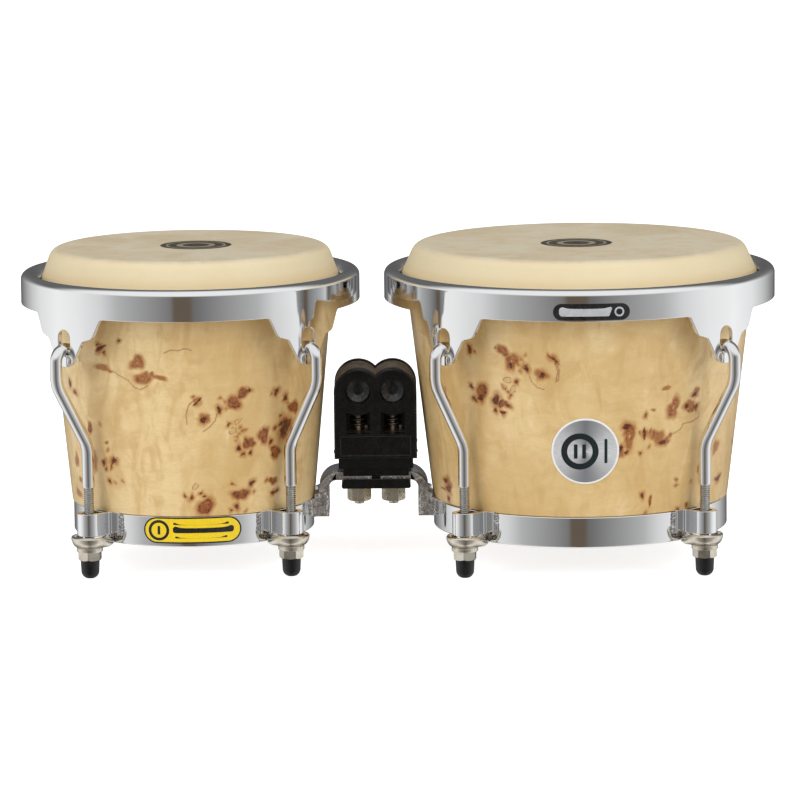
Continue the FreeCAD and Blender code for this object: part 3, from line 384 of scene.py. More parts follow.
# ---- material helpers -----------------------------------------------------------------------------------------
def lin(r, g, b):
    """sRGB 0-255 to linear."""
    out = []
    for c in (r, g, b):
        c = c / 255
        out.append(c / 12.92 if c <= 0.04045 else ((c + 0.055) / 1.055) ** 2.4)
    return (*out, 1.0)


class Look:
    """A node material, written as short calls."""

    def __init__(self, name):
        self.m = bpy.data.materials.new(name)
        self.m.use_nodes = True
        self.t = self.m.node_tree
        self.t.nodes.clear()
        self.out = self.t.nodes.new("ShaderNodeOutputMaterial")
        self.b = self.t.nodes.new("ShaderNodeBsdfPrincipled")
        self.t.links.new(self.b.outputs[0], self.out.inputs[0])
        self.co = self.t.nodes.new("ShaderNodeTexCoord").outputs["Object"]

    def put(self, socket, value):
        if isinstance(value, bpy.types.NodeSocket):
            self.t.links.new(value, socket)
        elif value is not None:
            if hasattr(socket.default_value, "__len__") and not hasattr(value, "__len__"):
                value = (value,) * len(socket.default_value)
            if hasattr(socket.default_value, "__len__"):
                value = tuple(value)[:len(socket.default_value)]
            socket.default_value = value

    def set(self, **kw):
        for k, v in kw.items():
            self.put(self.b.inputs[k.replace("_", " ")], v)
        return self

    def noise(self, scale, detail=3.0, rough=0.55, vec=None, distort=0.0, color=False):
        n = self.t.nodes.new("ShaderNodeTexNoise")
        self.put(n.inputs["Vector"], self.co if vec is None else vec)
        self.put(n.inputs["Scale"], scale)
        self.put(n.inputs["Detail"], detail)
        self.put(n.inputs["Roughness"], rough)
        self.put(n.inputs["Distortion"], distort)
        return n.outputs["Color"] if color else n.outputs["Fac"]

    def voronoi(self, scale, vec=None, feature="F1"):
        n = self.t.nodes.new("ShaderNodeTexVoronoi")
        n.feature = feature
        self.put(n.inputs["Vector"], self.co if vec is None else vec)
        self.put(n.inputs["Scale"], scale)
        return n.outputs["Distance"]

    def wave(self, scale, distort=0.0, detail=2.0, axis="Z", vec=None, dscale=1.0):
        n = self.t.nodes.new("ShaderNodeTexWave")
        n.bands_direction = axis
        self.put(n.inputs["Vector"], self.co if vec is None else vec)
        self.put(n.inputs["Scale"], scale)
        self.put(n.inputs["Distortion"], distort)
        self.put(n.inputs["Detail"], detail)
        self.put(n.inputs["Detail Scale"], dscale)
        return n.outputs["Fac"]

    def warp(self, vec, by, amount):
        a = self.vec("SUBTRACT", by, (0.5, 0.5, 0.5))
        b = self.vec("SCALE", a, None, amount)
        return self.vec("ADD", vec, b)

    def vec(self, op, a, b=None, scale=None):
        n = self.t.nodes.new("ShaderNodeVectorMath")
        n.operation = op
        self.put(n.inputs[0], a)
        if b is not None:
            self.put(n.inputs[1], b)
        if scale is not None:
            self.put(n.inputs["Scale"], scale)
        return n.outputs["Value"] if op in ("LENGTH", "DOT_PRODUCT", "DISTANCE") else n.outputs["Vector"]

    def map(self, scale=(1, 1, 1), loc=(0, 0, 0), rot=(0, 0, 0), vec=None):
        n = self.t.nodes.new("ShaderNodeMapping")
        self.put(n.inputs["Vector"], self.co if vec is None else vec)
        self.put(n.inputs["Scale"], scale)
        self.put(n.inputs["Location"], loc)
        self.put(n.inputs["Rotation"], rot)
        return n.outputs["Vector"]

    def math(self, op, a, b=0.0, c=0.0, clamp=False):
        n = self.t.nodes.new("ShaderNodeMath")
        n.operation = op
        n.use_clamp = clamp
        for i, v in enumerate((a, b, c)):
            self.put(n.inputs[i], v)
        return n.outputs[0]

    def span(self, v, lo, hi, a=0.0, b=1.0, smooth=True):
        n = self.t.nodes.new("ShaderNodeMapRange")
        n.interpolation_type = "SMOOTHSTEP" if smooth else "LINEAR"
        for k, x in (("Value", v), ("From Min", lo), ("From Max", hi), ("To Min", a), ("To Max", b)):
            self.put(n.inputs[k], x)
        return n.outputs["Result"]

    def mix(self, fac, a, b, kind="MIX"):
        n = self.t.nodes.new("ShaderNodeMix")
        n.data_type = "RGBA"
        n.blend_type = kind
        n.clamp_factor = True
        self.put(n.inputs[0], fac)
        self.put(n.inputs[6], a)
        self.put(n.inputs[7], b)
        return n.outputs[2]

    def ramp(self, fac, stops):
        n = self.t.nodes.new("ShaderNodeValToRGB")
        e = n.color_ramp.elements
        while len(e) > 1:
            e.remove(e[-1])
        e[0].position, e[0].color = stops[0][0], stops[0][1]
        for p, c in stops[1:]:
            x = e.new(p)
            x.color = c
        self.put(n.inputs[0], fac)
        return n.outputs["Color"]

    def attr(self, name):
        n = self.t.nodes.new("ShaderNodeAttribute")
        n.attribute_name = name
        return n.outputs["Fac"]

    def xyz(self, vec=None):
        n = self.t.nodes.new("ShaderNodeSeparateXYZ")
        self.put(n.inputs[0], self.co if vec is None else vec)
        return n.outputs

    def join(self, x, y, z):
        n = self.t.nodes.new("ShaderNodeCombineXYZ")
        for i, v in enumerate((x, y, z)):
            self.put(n.inputs[i], v)
        return n.outputs[0]

    def bump(self, height, strength=0.3, dist=0.0002, normal=None):
        n = self.t.nodes.new("ShaderNodeBump")
        self.put(n.inputs["Height"], height)
        self.put(n.inputs["Strength"], strength)
        self.put(n.inputs["Distance"], dist)
        if normal is not None:
            self.put(n.inputs["Normal"], normal)
        return n.outputs[0]

    def convexity(self):
        """Bright where the mesh is convex."""
        n = self.t.nodes.new("ShaderNodeNewGeometry")
        return n.outputs["Pointiness"]

    def tidy(self, r, g, b):
        self.m.diffuse_color = (r, g, b, 1)
        return self.m


def chrome(name, tint=(0.93, 0.935, 0.945), rough=0.045, grime=0.05):
    L = Look(name)
    smear = L.noise(60, 4, 0.6)
    fine = L.noise(900, 2, 0.5)
    r = L.math("ADD", L.span(smear, 0.35, 0.75, rough, rough + grime), L.math("MULTIPLY", fine, 0.012))
    c = L.mix(L.span(L.noise(25, 2), 0.4, 0.7), (*tint, 1), (tint[0] * 0.97, tint[1] * 0.97, tint[2] * 0.965, 1))
    L.set(Base_Color=c, Metallic=1.0, Roughness=r, Normal=L.bump(L.noise(35, 2), 0.02, 0.0003))
    return L.tidy(0.8, 0.8, 0.82)


def nickel(name, tint=(0.80, 0.75, 0.65), rough=0.17):
    L = Look(name)
    v = L.noise(220, 4, 0.6)
    c = L.mix(L.span(v, 0.35, 0.7), (*tint, 1), (tint[0] * 0.82, tint[1] * 0.79, tint[2] * 0.74, 1))
    r = L.span(L.noise(500, 3), 0.3, 0.7, rough * 0.7, rough * 1.8)
    L.set(Base_Color=c, Metallic=1.0, Roughness=r, Normal=L.bump(L.noise(1400, 3), 0.03, 0.0001))
    return L.tidy(0.6, 0.55, 0.48)


def cast_metal(name, tint=(0.62, 0.61, 0.60), rough=0.14, lumps=0.5):
    L = Look(name)
    v = L.noise(160, 4, 0.65)
    c = L.mix(L.span(v, 0.35, 0.7), (*tint, 1), (tint[0] * 0.6, tint[1] * 0.58, tint[2] * 0.56, 1))
    r = L.span(L.noise(300, 4), 0.3, 0.7, rough * 0.6, rough * 2.2)
    n1 = L.bump(L.noise(330, 3, 0.55, distort=0.6), lumps, 0.0006)
    L.set(Base_Color=c, Metallic=1.0, Roughness=r, Normal=n1)
    return L.tidy(0.5, 0.5, 0.5)


def plastic(name, base=(13, 14, 14), rough=0.33, spec=0.28, grain=0.18, edge_wear_and_sheen=0.0):
    L = Look(name)
    v = L.noise(90, 4, 0.6)
    a, b = lin(*base), lin(*[min(255, c + 9) for c in base])
    c = L.mix(L.span(v, 0.35, 0.75), a, b)
    # lightens convex edges: partly rubbed wear, partly a painted sheen highlight along the edges
    if edge_wear_and_sheen:
        c = L.mix(L.math("MULTIPLY", L.span(L.convexity(), 0.52, 0.6), edge_wear_and_sheen), c, lin(150, 148, 140))
    # painted highlight on the block covers: thin lighter lines along the edge of the panel recess, in place of light
    # caught on the panel frame
    if name == "block_plastic":
        q = L.xyz()
        u = L.math("ABSOLUTE", L.math("ADD", q[0], 0.0146))
        w = L.math("ABSOLUTE", L.math("SUBTRACT", q[2], 0.07305))
        box = L.math("MAXIMUM", L.math("SUBTRACT", u, 0.0214), L.math("SUBTRACT", w, 0.00585))
        edge = L.math("MULTIPLY", L.span(L.math("ABSOLUTE", box), 0.00045, 0.0002), 0.55)
        c = L.mix(edge, c, lin(58, 61, 59))
    pebble = L.voronoi(2600)
    r = L.math("ADD", L.span(L.noise(260, 4), 0.3, 0.7, rough * 0.75, rough * 1.35), 0.0)
    L.set(Base_Color=c, Roughness=r, Specular_IOR_Level=spec, Normal=L.bump(pebble, grain, 0.00006))
    return L.tidy(0.02, 0.02, 0.02)


def wood():
    """Pale burl veneer under a gloss coat. Knots come from the mesh's fields, their ragged edges from noise."""
    L = Look("burl_wood_gloss")
    rag = L.noise(900, 3, 0.6, color=True)
    rag2 = L.noise(240, 3, 0.6, color=True)
    co = L.warp(L.warp(L.co, rag2, 0.004), rag, 0.0006)
    big = L.noise(17, 3, 0.5, vec=L.map((1, 1, 0.55)), distort=0.7)
    mid = L.noise(70, 4, 0.6, vec=L.map((1, 1, 0.5)), distort=1.1)
    swirl = L.wave(26, 9.0, 3.0, "Z", vec=co, dscale=0.9)
    fibre = L.noise(560, 3, 0.6, vec=L.map((0.35, 0.35, 3.4)))
    fleck = L.noise(1500, 2, 0.5, vec=L.map((0.5, 0.5, 2.0)))
    base = L.mix(L.span(big, 0.3, 0.72), lin(236, 210, 157), lin(212, 178, 118))
    base = L.mix(L.span(mid, 0.42, 0.70, 0.0, 0.62), base, lin(202, 163, 102))
    base = L.mix(L.span(mid, 0.2, 0.42, 0.45, 0.0), base, lin(244, 223, 176))
    base = L.mix(L.span(swirl, 0.66, 0.98, 0.0, 0.10), base, lin(190, 150, 94))
    base = L.mix(L.span(fibre, 0.45, 0.7, 0.0, 0.20), base, lin(196, 158, 102))
    base = L.mix(L.span(fleck, 0.55, 0.75, 0.0, 0.16), base, lin(184, 142, 86))
    wob = L.noise(420, 4, 0.65)
    wob2 = L.noise(1500, 3, 0.6)
    # soft brown smudges round the clusters
    halo = L.math("ADD", L.attr("halo"), L.math("MULTIPLY", L.math("SUBTRACT", wob, 0.5), 0.55))
    base = L.mix(L.span(halo, 0.16, 0.85, 0.0, 0.86), base, lin(176, 116, 58))
    base = L.mix(L.span(halo, 0.58, 1.15, 0.0, 0.75), base, lin(132, 72, 34))
    # pale hearts
    pale = L.math("ADD", L.attr("pale"), L.math("MULTIPLY", L.math("SUBTRACT", wob2, 0.5), 0.4))
    base = L.mix(L.span(pale, 0.35, 0.75, 0.0, 0.55), base, lin(226, 188, 146))
    # dark cores, with a red-brown edge
    core = L.math("ADD", L.attr("knot"), L.math("MULTIPLY", L.math("SUBTRACT", wob, 0.5), 1.25))
    core = L.math("ADD", core, L.math("MULTIPLY", L.math("SUBTRACT", wob2, 0.5), 0.85))
    base = L.mix(L.span(core, 0.30, 0.62, 0.0, 0.80), base, lin(140, 76, 36))
    base = L.mix(L.span(core, 0.62, 0.95, 0.0, 0.92), base, lin(72, 34, 16))
    line = L.math("ADD", L.attr("crack"), L.math("MULTIPLY", L.math("SUBTRACT", wob2, 0.5), 0.6))
    base = L.mix(L.span(line, 0.35, 0.8, 0.0, 0.62), base, lin(140, 84, 50))
    h = L.math("ADD", L.math("MULTIPLY", fibre, 0.5), L.math("MULTIPLY", L.attr("knot"), -0.9))
    L.set(Base_Color=base, Roughness=L.span(mid, 0.3, 0.7, 0.36, 0.48), Specular_IOR_Level=0.35,
          Normal=L.bump(h, 0.10, 0.0002), Coat_Weight=0.32, Coat_Roughness=0.10, Coat_IOR=1.5)
    return L.tidy(0.72, 0.53, 0.26)


def raw_wood():
    L = Look("inner_wood")
    ring = L.wave(40, 6.0, 3.0, "Z", dscale=1.5)
    f = L.noise(420, 4, 0.6, vec=L.map((1, 1, 0.2)))
    c = L.mix(L.span(ring, 0.2, 0.9), lin(214, 184, 134), lin(196, 160, 108))
    c = L.mix(L.span(f, 0.45, 0.72, 0.0, 0.5), c, lin(168, 128, 80))
    L.set(Base_Color=c, Roughness=0.62, Normal=L.bump(f, 0.25, 0.0002))
    return L.tidy(0.6, 0.42, 0.2)


def hide(name, cx, cy):
    """Natural hide: pale cream top, warmer collar, faint pores and veins, and a printed ink disc."""
    L = Look(name)
    p = L.xyz()
    big = L.noise(22, 4, 0.6, distort=0.8)
    mid = L.noise(85, 5, 0.65)
    pores = L.voronoi(1500)
    fine = L.noise(1700, 3, 0.6)
    c = L.mix(L.span(big, 0.32, 0.7), lin(224, 212, 186), lin(212, 196, 164))
    c = L.mix(L.span(mid, 0.45, 0.75, 0.0, 0.35), c, lin(200, 180, 144))
    c = L.mix(L.span(L.noise(300, 4, 0.7), 0.56, 0.74, 0.0, 0.25), c, lin(186, 160, 120))
    c = L.mix(L.span(fine, 0.46, 0.72, 0.0, 0.32), c, lin(184, 164, 130))
    # the collar is smoother and yellower, and turns tan where it is pulled round the hoop
    side = L.span(L.math("ADD", p[2], L.math("MULTIPLY", L.math("SUBTRACT", mid, 0.5), 0.0006)), 0.1953, 0.1938)
    c = L.mix(L.math("MULTIPLY", side, 0.8), c, lin(226, 210, 172))
    tan = L.span(L.math("ADD", p[2], L.math("MULTIPLY", L.math("SUBTRACT", mid, 0.5), 0.006)), 0.1875, 0.1795)
    c = L.mix(L.math("MULTIPLY", tan, 0.5), c, lin(218, 190, 142))
    # printed disc
    dx = L.math("SUBTRACT", p[0], cx)
    dy = L.math("SUBTRACT", p[1], cy)
    d = L.math("SQRT", L.math("ADD", L.math("MULTIPLY", dx, dx), L.math("MULTIPLY", dy, dy)))
    edge = L.math("ADD", d, L.math("MULTIPLY", L.math("SUBTRACT", L.noise(1400, 3, 0.6), 0.5), 0.0012))
    disc = L.math("MULTIPLY", L.span(edge, 0.0222, 0.0216), L.span(p[2], 0.1954, 0.1956))
    ring = L.math("MULTIPLY", L.span(edge, 0.0168, 0.0172), L.span(edge, 0.0186, 0.0182))
    ring2 = L.math("MULTIPLY", L.span(edge, 0.0080, 0.0085), L.span(edge, 0.0122, 0.0117))
    ink = L.math("MULTIPLY", disc, L.math("SUBTRACT", 1.0, L.math("MULTIPLY", L.math("MAXIMUM", ring, ring2), 0.42)))
    blotch = L.span(L.noise(700, 4, 0.6), 0.25, 0.6, 0.80, 0.97)
    c = L.mix(L.math("MULTIPLY", ink, blotch), c, lin(38, 34, 32))
    h = L.math("ADD", L.math("MULTIPLY", fine, 0.6), L.math("MULTIPLY", pores, 0.5))
    L.set(Base_Color=c, Roughness=L.span(mid, 0.3, 0.7, 0.46, 0.6), Specular_IOR_Level=0.4, Normal=L.bump(h, 0.16, 0.0002),
          Subsurface_Weight=0.08, Subsurface_Radius=(0.004, 0.0025, 0.0012), Subsurface_Scale=0.5)
    return L.tidy(0.62, 0.55, 0.42)


def rubber():
    L = Look("cap_rubber")
    v = L.noise(240, 4)
    c = L.mix(L.span(v, 0.35, 0.7), lin(8, 8, 9), lin(17, 17, 18))
    c = L.mix(L.span(L.noise(900, 3, 0.7), 0.64, 0.78, 0.0, 0.2), c, lin(48, 48, 46))
    L.set(Base_Color=c, Roughness=L.span(v, 0.3, 0.7, 0.34, 0.5), Specular_IOR_Level=0.5, Normal=L.bump(L.noise(2500, 2), 0.12, 0.0001))
    return L.tidy(0.02, 0.02, 0.02)


def core_look():
    L = Look("block_alloy")
    v = L.noise(140, 4, 0.6)
    c = L.mix(L.span(v, 0.3, 0.7), lin(168, 154, 136), lin(128, 117, 104))
    c = L.mix(L.span(L.noise(420, 4), 0.5, 0.75, 0.0, 0.5), c, lin(186, 168, 142))
    # the foot below the covers is painted black
    foot = L.span(L.xyz()[2], 0.0648, 0.0654, 1.0, 0.0)
    c = L.mix(foot, c, lin(9, 10, 10))
    L.set(Base_Color=c, Metallic=L.math("MULTIPLY", L.math("SUBTRACT", 1.0, foot), 0.75), Roughness=L.span(v, 0.3, 0.7, 0.3, 0.45),
          Specular_IOR_Level=0.35, Normal=L.bump(L.noise(1200, 3), 0.12, 0.0002))
    return L.tidy(0.2, 0.18, 0.15)


def badge_look(kind):
    L = Look(kind)
    if kind == "badge_brushed":
        p = L.xyz(L.map((1, 1, 1), (-0.1112, 0, -0.0806)))
        brush = L.noise(1100, 3, 0.6, vec=L.map((0.25, 0.25, 3.0)))
        # painted reflection: light and dark sectors come from a colour ramp by angle round the badge centre, bright to
        # the sides and dark above and below
        sheen_angle = L.math("MULTIPLY", L.math("ABSOLUTE", L.math("ARCTAN2", p[0], p[2])), 0.3183)
        g = L.ramp(sheen_angle, [(0.0, lin(128, 130, 134)), (0.14, lin(168, 170, 173)), (0.3, lin(220, 221, 223)), (0.55, lin(236, 237, 238)), (0.75, lin(206, 207, 209)), (0.9, lin(160, 162, 165)), (1.0, lin(138, 140, 144))])
        c = L.mix(L.span(brush, 0.3, 0.7, 0.0, 0.35), g, lin(150, 152, 155))
        L.set(Base_Color=c, Metallic=0.35, Roughness=0.38, Normal=L.bump(brush, 0.12, 0.0001))
        return L.tidy(0.6, 0.6, 0.62)
    if kind == "badge_border":
        v = L.noise(600, 3)
        L.set(Base_Color=L.mix(v, lin(244, 244, 243), lin(232, 232, 231)), Roughness=0.28, Coat_Weight=0.4, Coat_Roughness=0.08)
        return L.tidy(0.9, 0.9, 0.9)
    if kind == "badge_ink":
        v = L.noise(600, 3)
        L.set(Base_Color=L.mix(v, lin(16, 30, 30), lin(26, 42, 41)), Roughness=0.35, Coat_Weight=0.3, Coat_Roughness=0.1)
        return L.tidy(0.03, 0.05, 0.05)


def label_look(name, base, other, rough=0.3):
    L = Look(name)
    v = L.noise(350, 4, 0.6)
    speck = L.noise(1800, 3, 0.6)
    c = L.mix(L.span(v, 0.3, 0.7), lin(*base), lin(*other))
    c = L.mix(L.span(speck, 0.6, 0.8, 0.0, 0.25), c, lin(*[max(0, k - 40) for k in base]))
    L.set(Base_Color=c, Roughness=L.span(v, 0.3, 0.7, rough * 0.8, rough * 1.3), Coat_Weight=0.5, Coat_Roughness=0.08,
          Normal=L.bump(L.noise(700, 3), 0.03, 0.0002))
    return L.tidy(*[k / 255 for k in base])


M = {
    "chrome": chrome("chrome_plate"),
    "rod": chrome("chrome_rod", (0.90, 0.90, 0.905), 0.07, 0.05),
    "thread": nickel("rod_thread", (0.62, 0.62, 0.61), 0.26),
    "nickel": nickel("warm_nickel"),
    "nickel2": nickel("clamp_nickel", (0.84, 0.78, 0.63), 0.2),
    "weld": cast_metal("weld_bead", (0.80, 0.79, 0.78), 0.12, 0.8),
    "arm": cast_metal("arm_cast", (0.97, 0.97, 0.97), 0.13, 0.85),
    "black": plastic("block_plastic", (11, 12, 12), 0.22, 0.5, 0.10),
    "pad": plastic("block_pad_plastic", (10, 11, 11), 0.24, 0.4),
    "steel": plastic("block_black_steel", (13, 13, 13), 0.22, 0.45),
    "core": core_look(),
    "dark": nickel("socket_steel", (0.075, 0.077, 0.08), 0.22),
    "spring": nickel("spring_wire", (0.45, 0.43, 0.40), 0.28),
    "rubber": rubber(),
    "wood": wood(),
    "raw": raw_wood(),
    "badge": badge_look("badge_brushed"),
    "border": badge_look("badge_border"),
    "ink": badge_look("badge_ink"),
    "yellow": label_look("label_yellow", (242, 212, 22), (236, 200, 14)),
    "label_black": label_look("label_black", (20, 20, 21), (34, 34, 35), 0.25),
    "label_silver": label_look("label_silver", (188, 190, 193), (170, 172, 176), 0.25),
}

# Burl spots of each shell: azimuth from the front (degrees), height, half width, half height, tilt, kind.
SPOTS_MACHO = [
    (-38.3, 141.7, 4.58, 1.46, 20, "k"), (-28.4, 147.3, 1.02, 0.91, 0, "k"), (-36.3, 139.5, 1.63, 0.73, 20, "k"),
    (-39.2, 144.0, 2.32, 0.73, 20, "k"), (-38.0, 130.1, 5.7, 3.05, 0, "s"), (-33.9, 128.1, 2.53, 1.22, -25, "s"),
    (-20.5, 134.4, 4.16, 2.8, 5, "w"), (-18.3, 124.8, 4.1, 2.93, -10, "w"), (-17.0, 128.2, 2.51, 1.22, 30, "s"),
    (-11.1, 125.7, 4.88, 2.07, -10, "s"), (-14.5, 127.7, 2.47, 1.59, 0, "s"), (-58.2, 111.7, 1.59, 1.83, 10, "k"),
    (-62.2, 116.5, 1.93, 2.44, 20, "k"), (-49.0, 91.0, 2.19, 2.44, -15, "e"), (-42.1, 94.3, 0.73, 0.55, 0, "k"),
    (-38.9, 83.2, 0.69, 0.55, 0, "k"), (-38.6, 78.9, 0.77, 0.61, 0, "k"), (-48.6, 70.1, 4.98, 6.71, 0, "s"),
    (-50.0, 64.2, 3.72, 1.83, 0, "s"), (-41.8, 70.5, 1.04, 2.44, 15, "k"), (-35.7, 72.5, 1.77, 2.8, -10, "k"),
    (-40.6, 66.9, 0.79, 1.22, 10, "k"), (-37.4, 68.3, 0.68, 1.83, -20, "k"), (-39.1, 59.4, 1.23, 0.98, 0, "k"),
    (-35.8, 58.9, 0.59, 0.49, 0, "k"), (-31.5, 60.3, 0.56, 0.49, 0, "k"), (-63.9, 68.5, 3.54, 5.49, 0, "s"),
    (-66.1, 47.5, 4.43, 3.66, 0, "s"), (-61.8, 56.5, 2.53, 2.44, 0, "s"), (7.8, 100.7, 4.23, 3.29, -10, "s"),
    (6.9, 99.5, 2.41, 2.07, 0, "k"), (13.8, 105.3, 1.6, 2.2, 20, "k"), (14.2, 112.6, 0.56, 0.55, 0, "k"),
    (16.4, 110.0, 0.5, 0.49, 0, "k"), (16.8, 105.7, 0.5, 0.49, 0, "k"), (20.3, 109.1, 3.06, 3.9, 15, "e"),
    (24.2, 114.9, 3.02, 2.68, 0, "e"), (27.4, 116.3, 1.21, 1.22, 0, "k"), (18.2, 96.1, 1.2, 0.85, 25, "k"),
    (22.2, 97.8, 2.46, 1.34, 15, "r"), (20.0, 91.9, 2.17, 1.71, 20, "r"), (23.4, 93.7, 1.04, 0.37, 25, "k"),
    (24.4, 91.5, 1.71, 0.43, 35, "k"), (26.0, 91.9, 1.07, 0.37, 35, "k"), (22.8, 89.8, 0.65, 0.43, 0, "k"),
    (21.9, 88.0, 0.77, 0.43, 30, "k"), (21.5, 85.6, 0.45, 0.43, 0, "k"), (22.9, 80.9, 1.82, 1.46, 20, "k"),
    (26.2, 83.3, 2.0, 2.56, 20, "e"), (28.8, 83.6, 2.46, 2.07, 0, "e"), (25.1, 77.0, 1.72, 1.1, 0, "k"),
    (28.4, 77.5, 1.36, 1.1, 0, "k"), (35.0, 87.4, 2.78, 4.51, -12, "e"), (40.8, 91.1, 1.5, 1.22, 0, "k"),
    (38.9, 82.8, 2.0, 1.34, 35, "k"), (41.7, 76.2, 3.53, 2.93, 0, "e"), (47.0, 90.7, 5.27, 5.24, -25, "k"),
    (44.8, 92.9, 2.53, 1.83, 0, "k"), (51.8, 102.2, 3.48, 3.29, -20, "e"), (40.7, 113.5, 1.74, 2.56, -15, "k"),
    (38.3, 112.8, 0.61, 0.49, 0, "k"), (46.3, 108.7, 2.43, 1.46, 0, "k"), (47.7, 105.3, 0.8, 0.55, 0, "k"),
    (48.5, 102.7, 0.9, 0.61, 0, "k"), (43.9, 98.2, 0.91, 0.67, 0, "k"), (3.1, 58.3, 1.68, 1.71, 0, "r"),
    (-1.7, 52.6, 0.72, 1.22, 0, "k"), (1.4, 51.4, 1.2, 1.22, 0, "k"), (5.5, 54.0, 0.72, 1.34, -30, "k"),
    (7.3, 52.1, 0.91, 0.61, 0, "k"), (7.7, 45.6, 3.75, 4.57, -15, "e"), (24.3, 52.0, 3.94, 3.05, -10, "e"),
    (20.1, 59.0, 0.77, 0.73, 0, "k"), (29.7, 58.5, 2.21, 1.71, 20, "k"), (22.3, 44.8, 1.81, 1.59, 0, "k"),
    (19.6, 42.6, 1.02, 0.73, 0, "k"), (27.0, 41.5, 0.81, 0.49, 0, "k"), (37.6, 59.1, 1.06, 0.85, 0, "k"),
    (41.1, 58.3, 2.7, 1.83, 0, "e"), (41.4, 50.8, 1.76, 1.22, 0, "k"), (43.8, 51.6, 1.49, 0.98, 0, "k"),
    (30.9, 52.7, 0.56, 0.73, 0, "k"), (4.5, 110.7, 3.9, 0.91, 40, "k"), (2.8, 113.8, 0.6, 0.61, 0, "k"),
]
SPOTS_HEMBRA = [
    (-42.1, 140.2, 1.77, 2.56, 30, "k"), (-40.0, 139.0, 0.7, 0.55, 0, "k"), (-31.3, 142.6, 1.4, 1.1, 0, "s"),
    (-28.5, 141.1, 2.73, 2.8, 0, "w"), (-25.6, 134.7, 3.19, 3.9, -10, "w"), (-26.1, 132.5, 2.27, 1.83, 0, "k"),
    (-22.0, 136.5, 0.45, 0.73, 0, "k"), (-23.2, 133.0, 0.65, 0.61, 0, "k"), (-20.4, 139.1, 0.51, 0.49, 0, "k"),
    (-20.4, 131.2, 1.72, 2.32, 0, "k"), (-22.6, 129.2, 0.65, 0.61, 0, "k"), (-15.2, 127.5, 4.96, 3.41, -10, "s"),
    (-14.9, 127.2, 2.23, 1.83, 0, "k"), (-11.3, 137.7, 2.69, 0.91, -40, "k"), (-9.7, 135.4, 2.19, 0.73, -40, "k"),
    (-12.6, 139.5, 0.98, 0.49, -40, "k"), (-27.5, 123.2, 2.3, 1.95, 0, "r"), (-24.1, 122.5, 1.44, 0.98, 0, "k"),
    (-25.5, 117.9, 1.86, 1.71, 0, "r"), (-28.9, 118.1, 1.64, 0.43, -35, "k"), (-27.6, 115.8, 1.49, 0.43, -40, "k"),
    (-29.6, 119.9, 0.69, 0.37, -30, "k"), (-26.5, 114.1, 0.67, 0.85, 0, "k"), (-27.2, 112.2, 0.47, 0.43, 0, "k"),
    (-42.7, 117.2, 1.79, 1.34, 0, "k"), (-38.2, 114.7, 3.05, 4.88, 10, "e"), (-39.0, 110.9, 2.62, 1.83, 0, "k"),
    (-41.8, 109.7, 2.57, 1.22, -45, "k"), (-32.6, 110.3, 2.98, 2.8, 10, "k"), (-30.0, 108.6, 2.49, 2.07, 0, "e"),
    (-27.9, 107.6, 1.63, 1.83, 0, "k"), (-33.0, 104.1, 1.57, 1.1, 0, "k"), (-30.0, 103.0, 2.35, 0.98, 10, "k"),
    (-62.6, 52.1, 5.98, 5.24, 0, "s"), (-62.6, 49.6, 3.39, 2.44, 0, "k"), (-64.4, 54.2, 2.77, 1.83, 0, "k"),
    (-63.6, 43.2, 2.42, 1.22, 0, "k"), (-67.2, 48.5, 4.63, 1.22, 0, "s"), (-51.2, 42.9, 1.34, 2.68, 0, "k"),
    (-57.7, 111.4, 1.12, 2.07, -10, "k"), (15.3, 92.4, 4.72, 4.88, 0, "s"), (14.9, 94.9, 3.1, 2.44, 0, "k"),
    (15.8, 88.7, 2.86, 4.88, -8, "w"), (12.6, 79.1, 2.82, 4.02, 10, "s"), (14.9, 79.2, 1.24, 1.46, 0, "k"),
    (12.6, 81.6, 1.47, 2.07, 0, "k"), (21.4, 89.9, 1.16, 3.66, 5, "k"), (23.6, 90.6, 1.05, 3.41, -5, "s"),
    (25.2, 89.4, 0.73, 1.83, 0, "k"), (19.5, 90.7, 0.76, 1.83, 0, "s"), (21.5, 101.2, 1.09, 1.22, 0, "k"),
    (23.5, 81.7, 0.52, 0.61, 0, "k"), (20.1, 77.8, 0.64, 0.98, 0, "k"), (29.7, 84.2, 4.83, 3.29, 20, "s"),
    (28.9, 83.6, 2.6, 1.83, 0, "k"), (32.0, 87.4, 2.12, 1.71, 0, "s"), (32.6, 104.3, 3.41, 4.51, 0, "w"),
    (40.1, 104.8, 5.32, 4.27, 0, "s"), (38.6, 104.5, 1.53, 2.07, 10, "k"), (42.9, 103.0, 1.63, 2.44, -20, "k"),
    (40.8, 101.6, 2.21, 1.34, 0, "w"), (42.7, 112.9, 2.44, 4.02, -38, "s"), (42.1, 111.2, 1.61, 2.2, -38, "k"),
    (24.5, 104.2, 1.97, 1.22, 0, "s"), (29.2, 117.1, 3.43, 1.83, 20, "s"), (58.0, 75.0, 4.07, 5.49, 0, "s"),
    (47.6, 63.9, 1.69, 2.8, 0, "s"), (62.8, 54.3, 3.41, 2.07, 0, "k"), (64.9, 56.0, 2.26, 1.22, 0, "s"),
    (36.4, 59.1, 0.67, 0.85, -30, "k"), (43.9, 56.6, 0.66, 0.49, 0, "k"), (36.4, 55.6, 1.19, 0.55, 20, "k"),
    (21.7, 51.7, 1.35, 1.46, 0, "k"), (25.1, 48.1, 0.93, 2.44, -12, "e"), (42.5, 42.6, 1.79, 1.95, 0, "s"),
    (38.0, 40.7, 1.06, 0.73, 0, "k"), (23.4, 40.7, 0.91, 0.49, 0, "k"), (26.7, 87.4, 6.03, 5.49, 0, "s"),
]
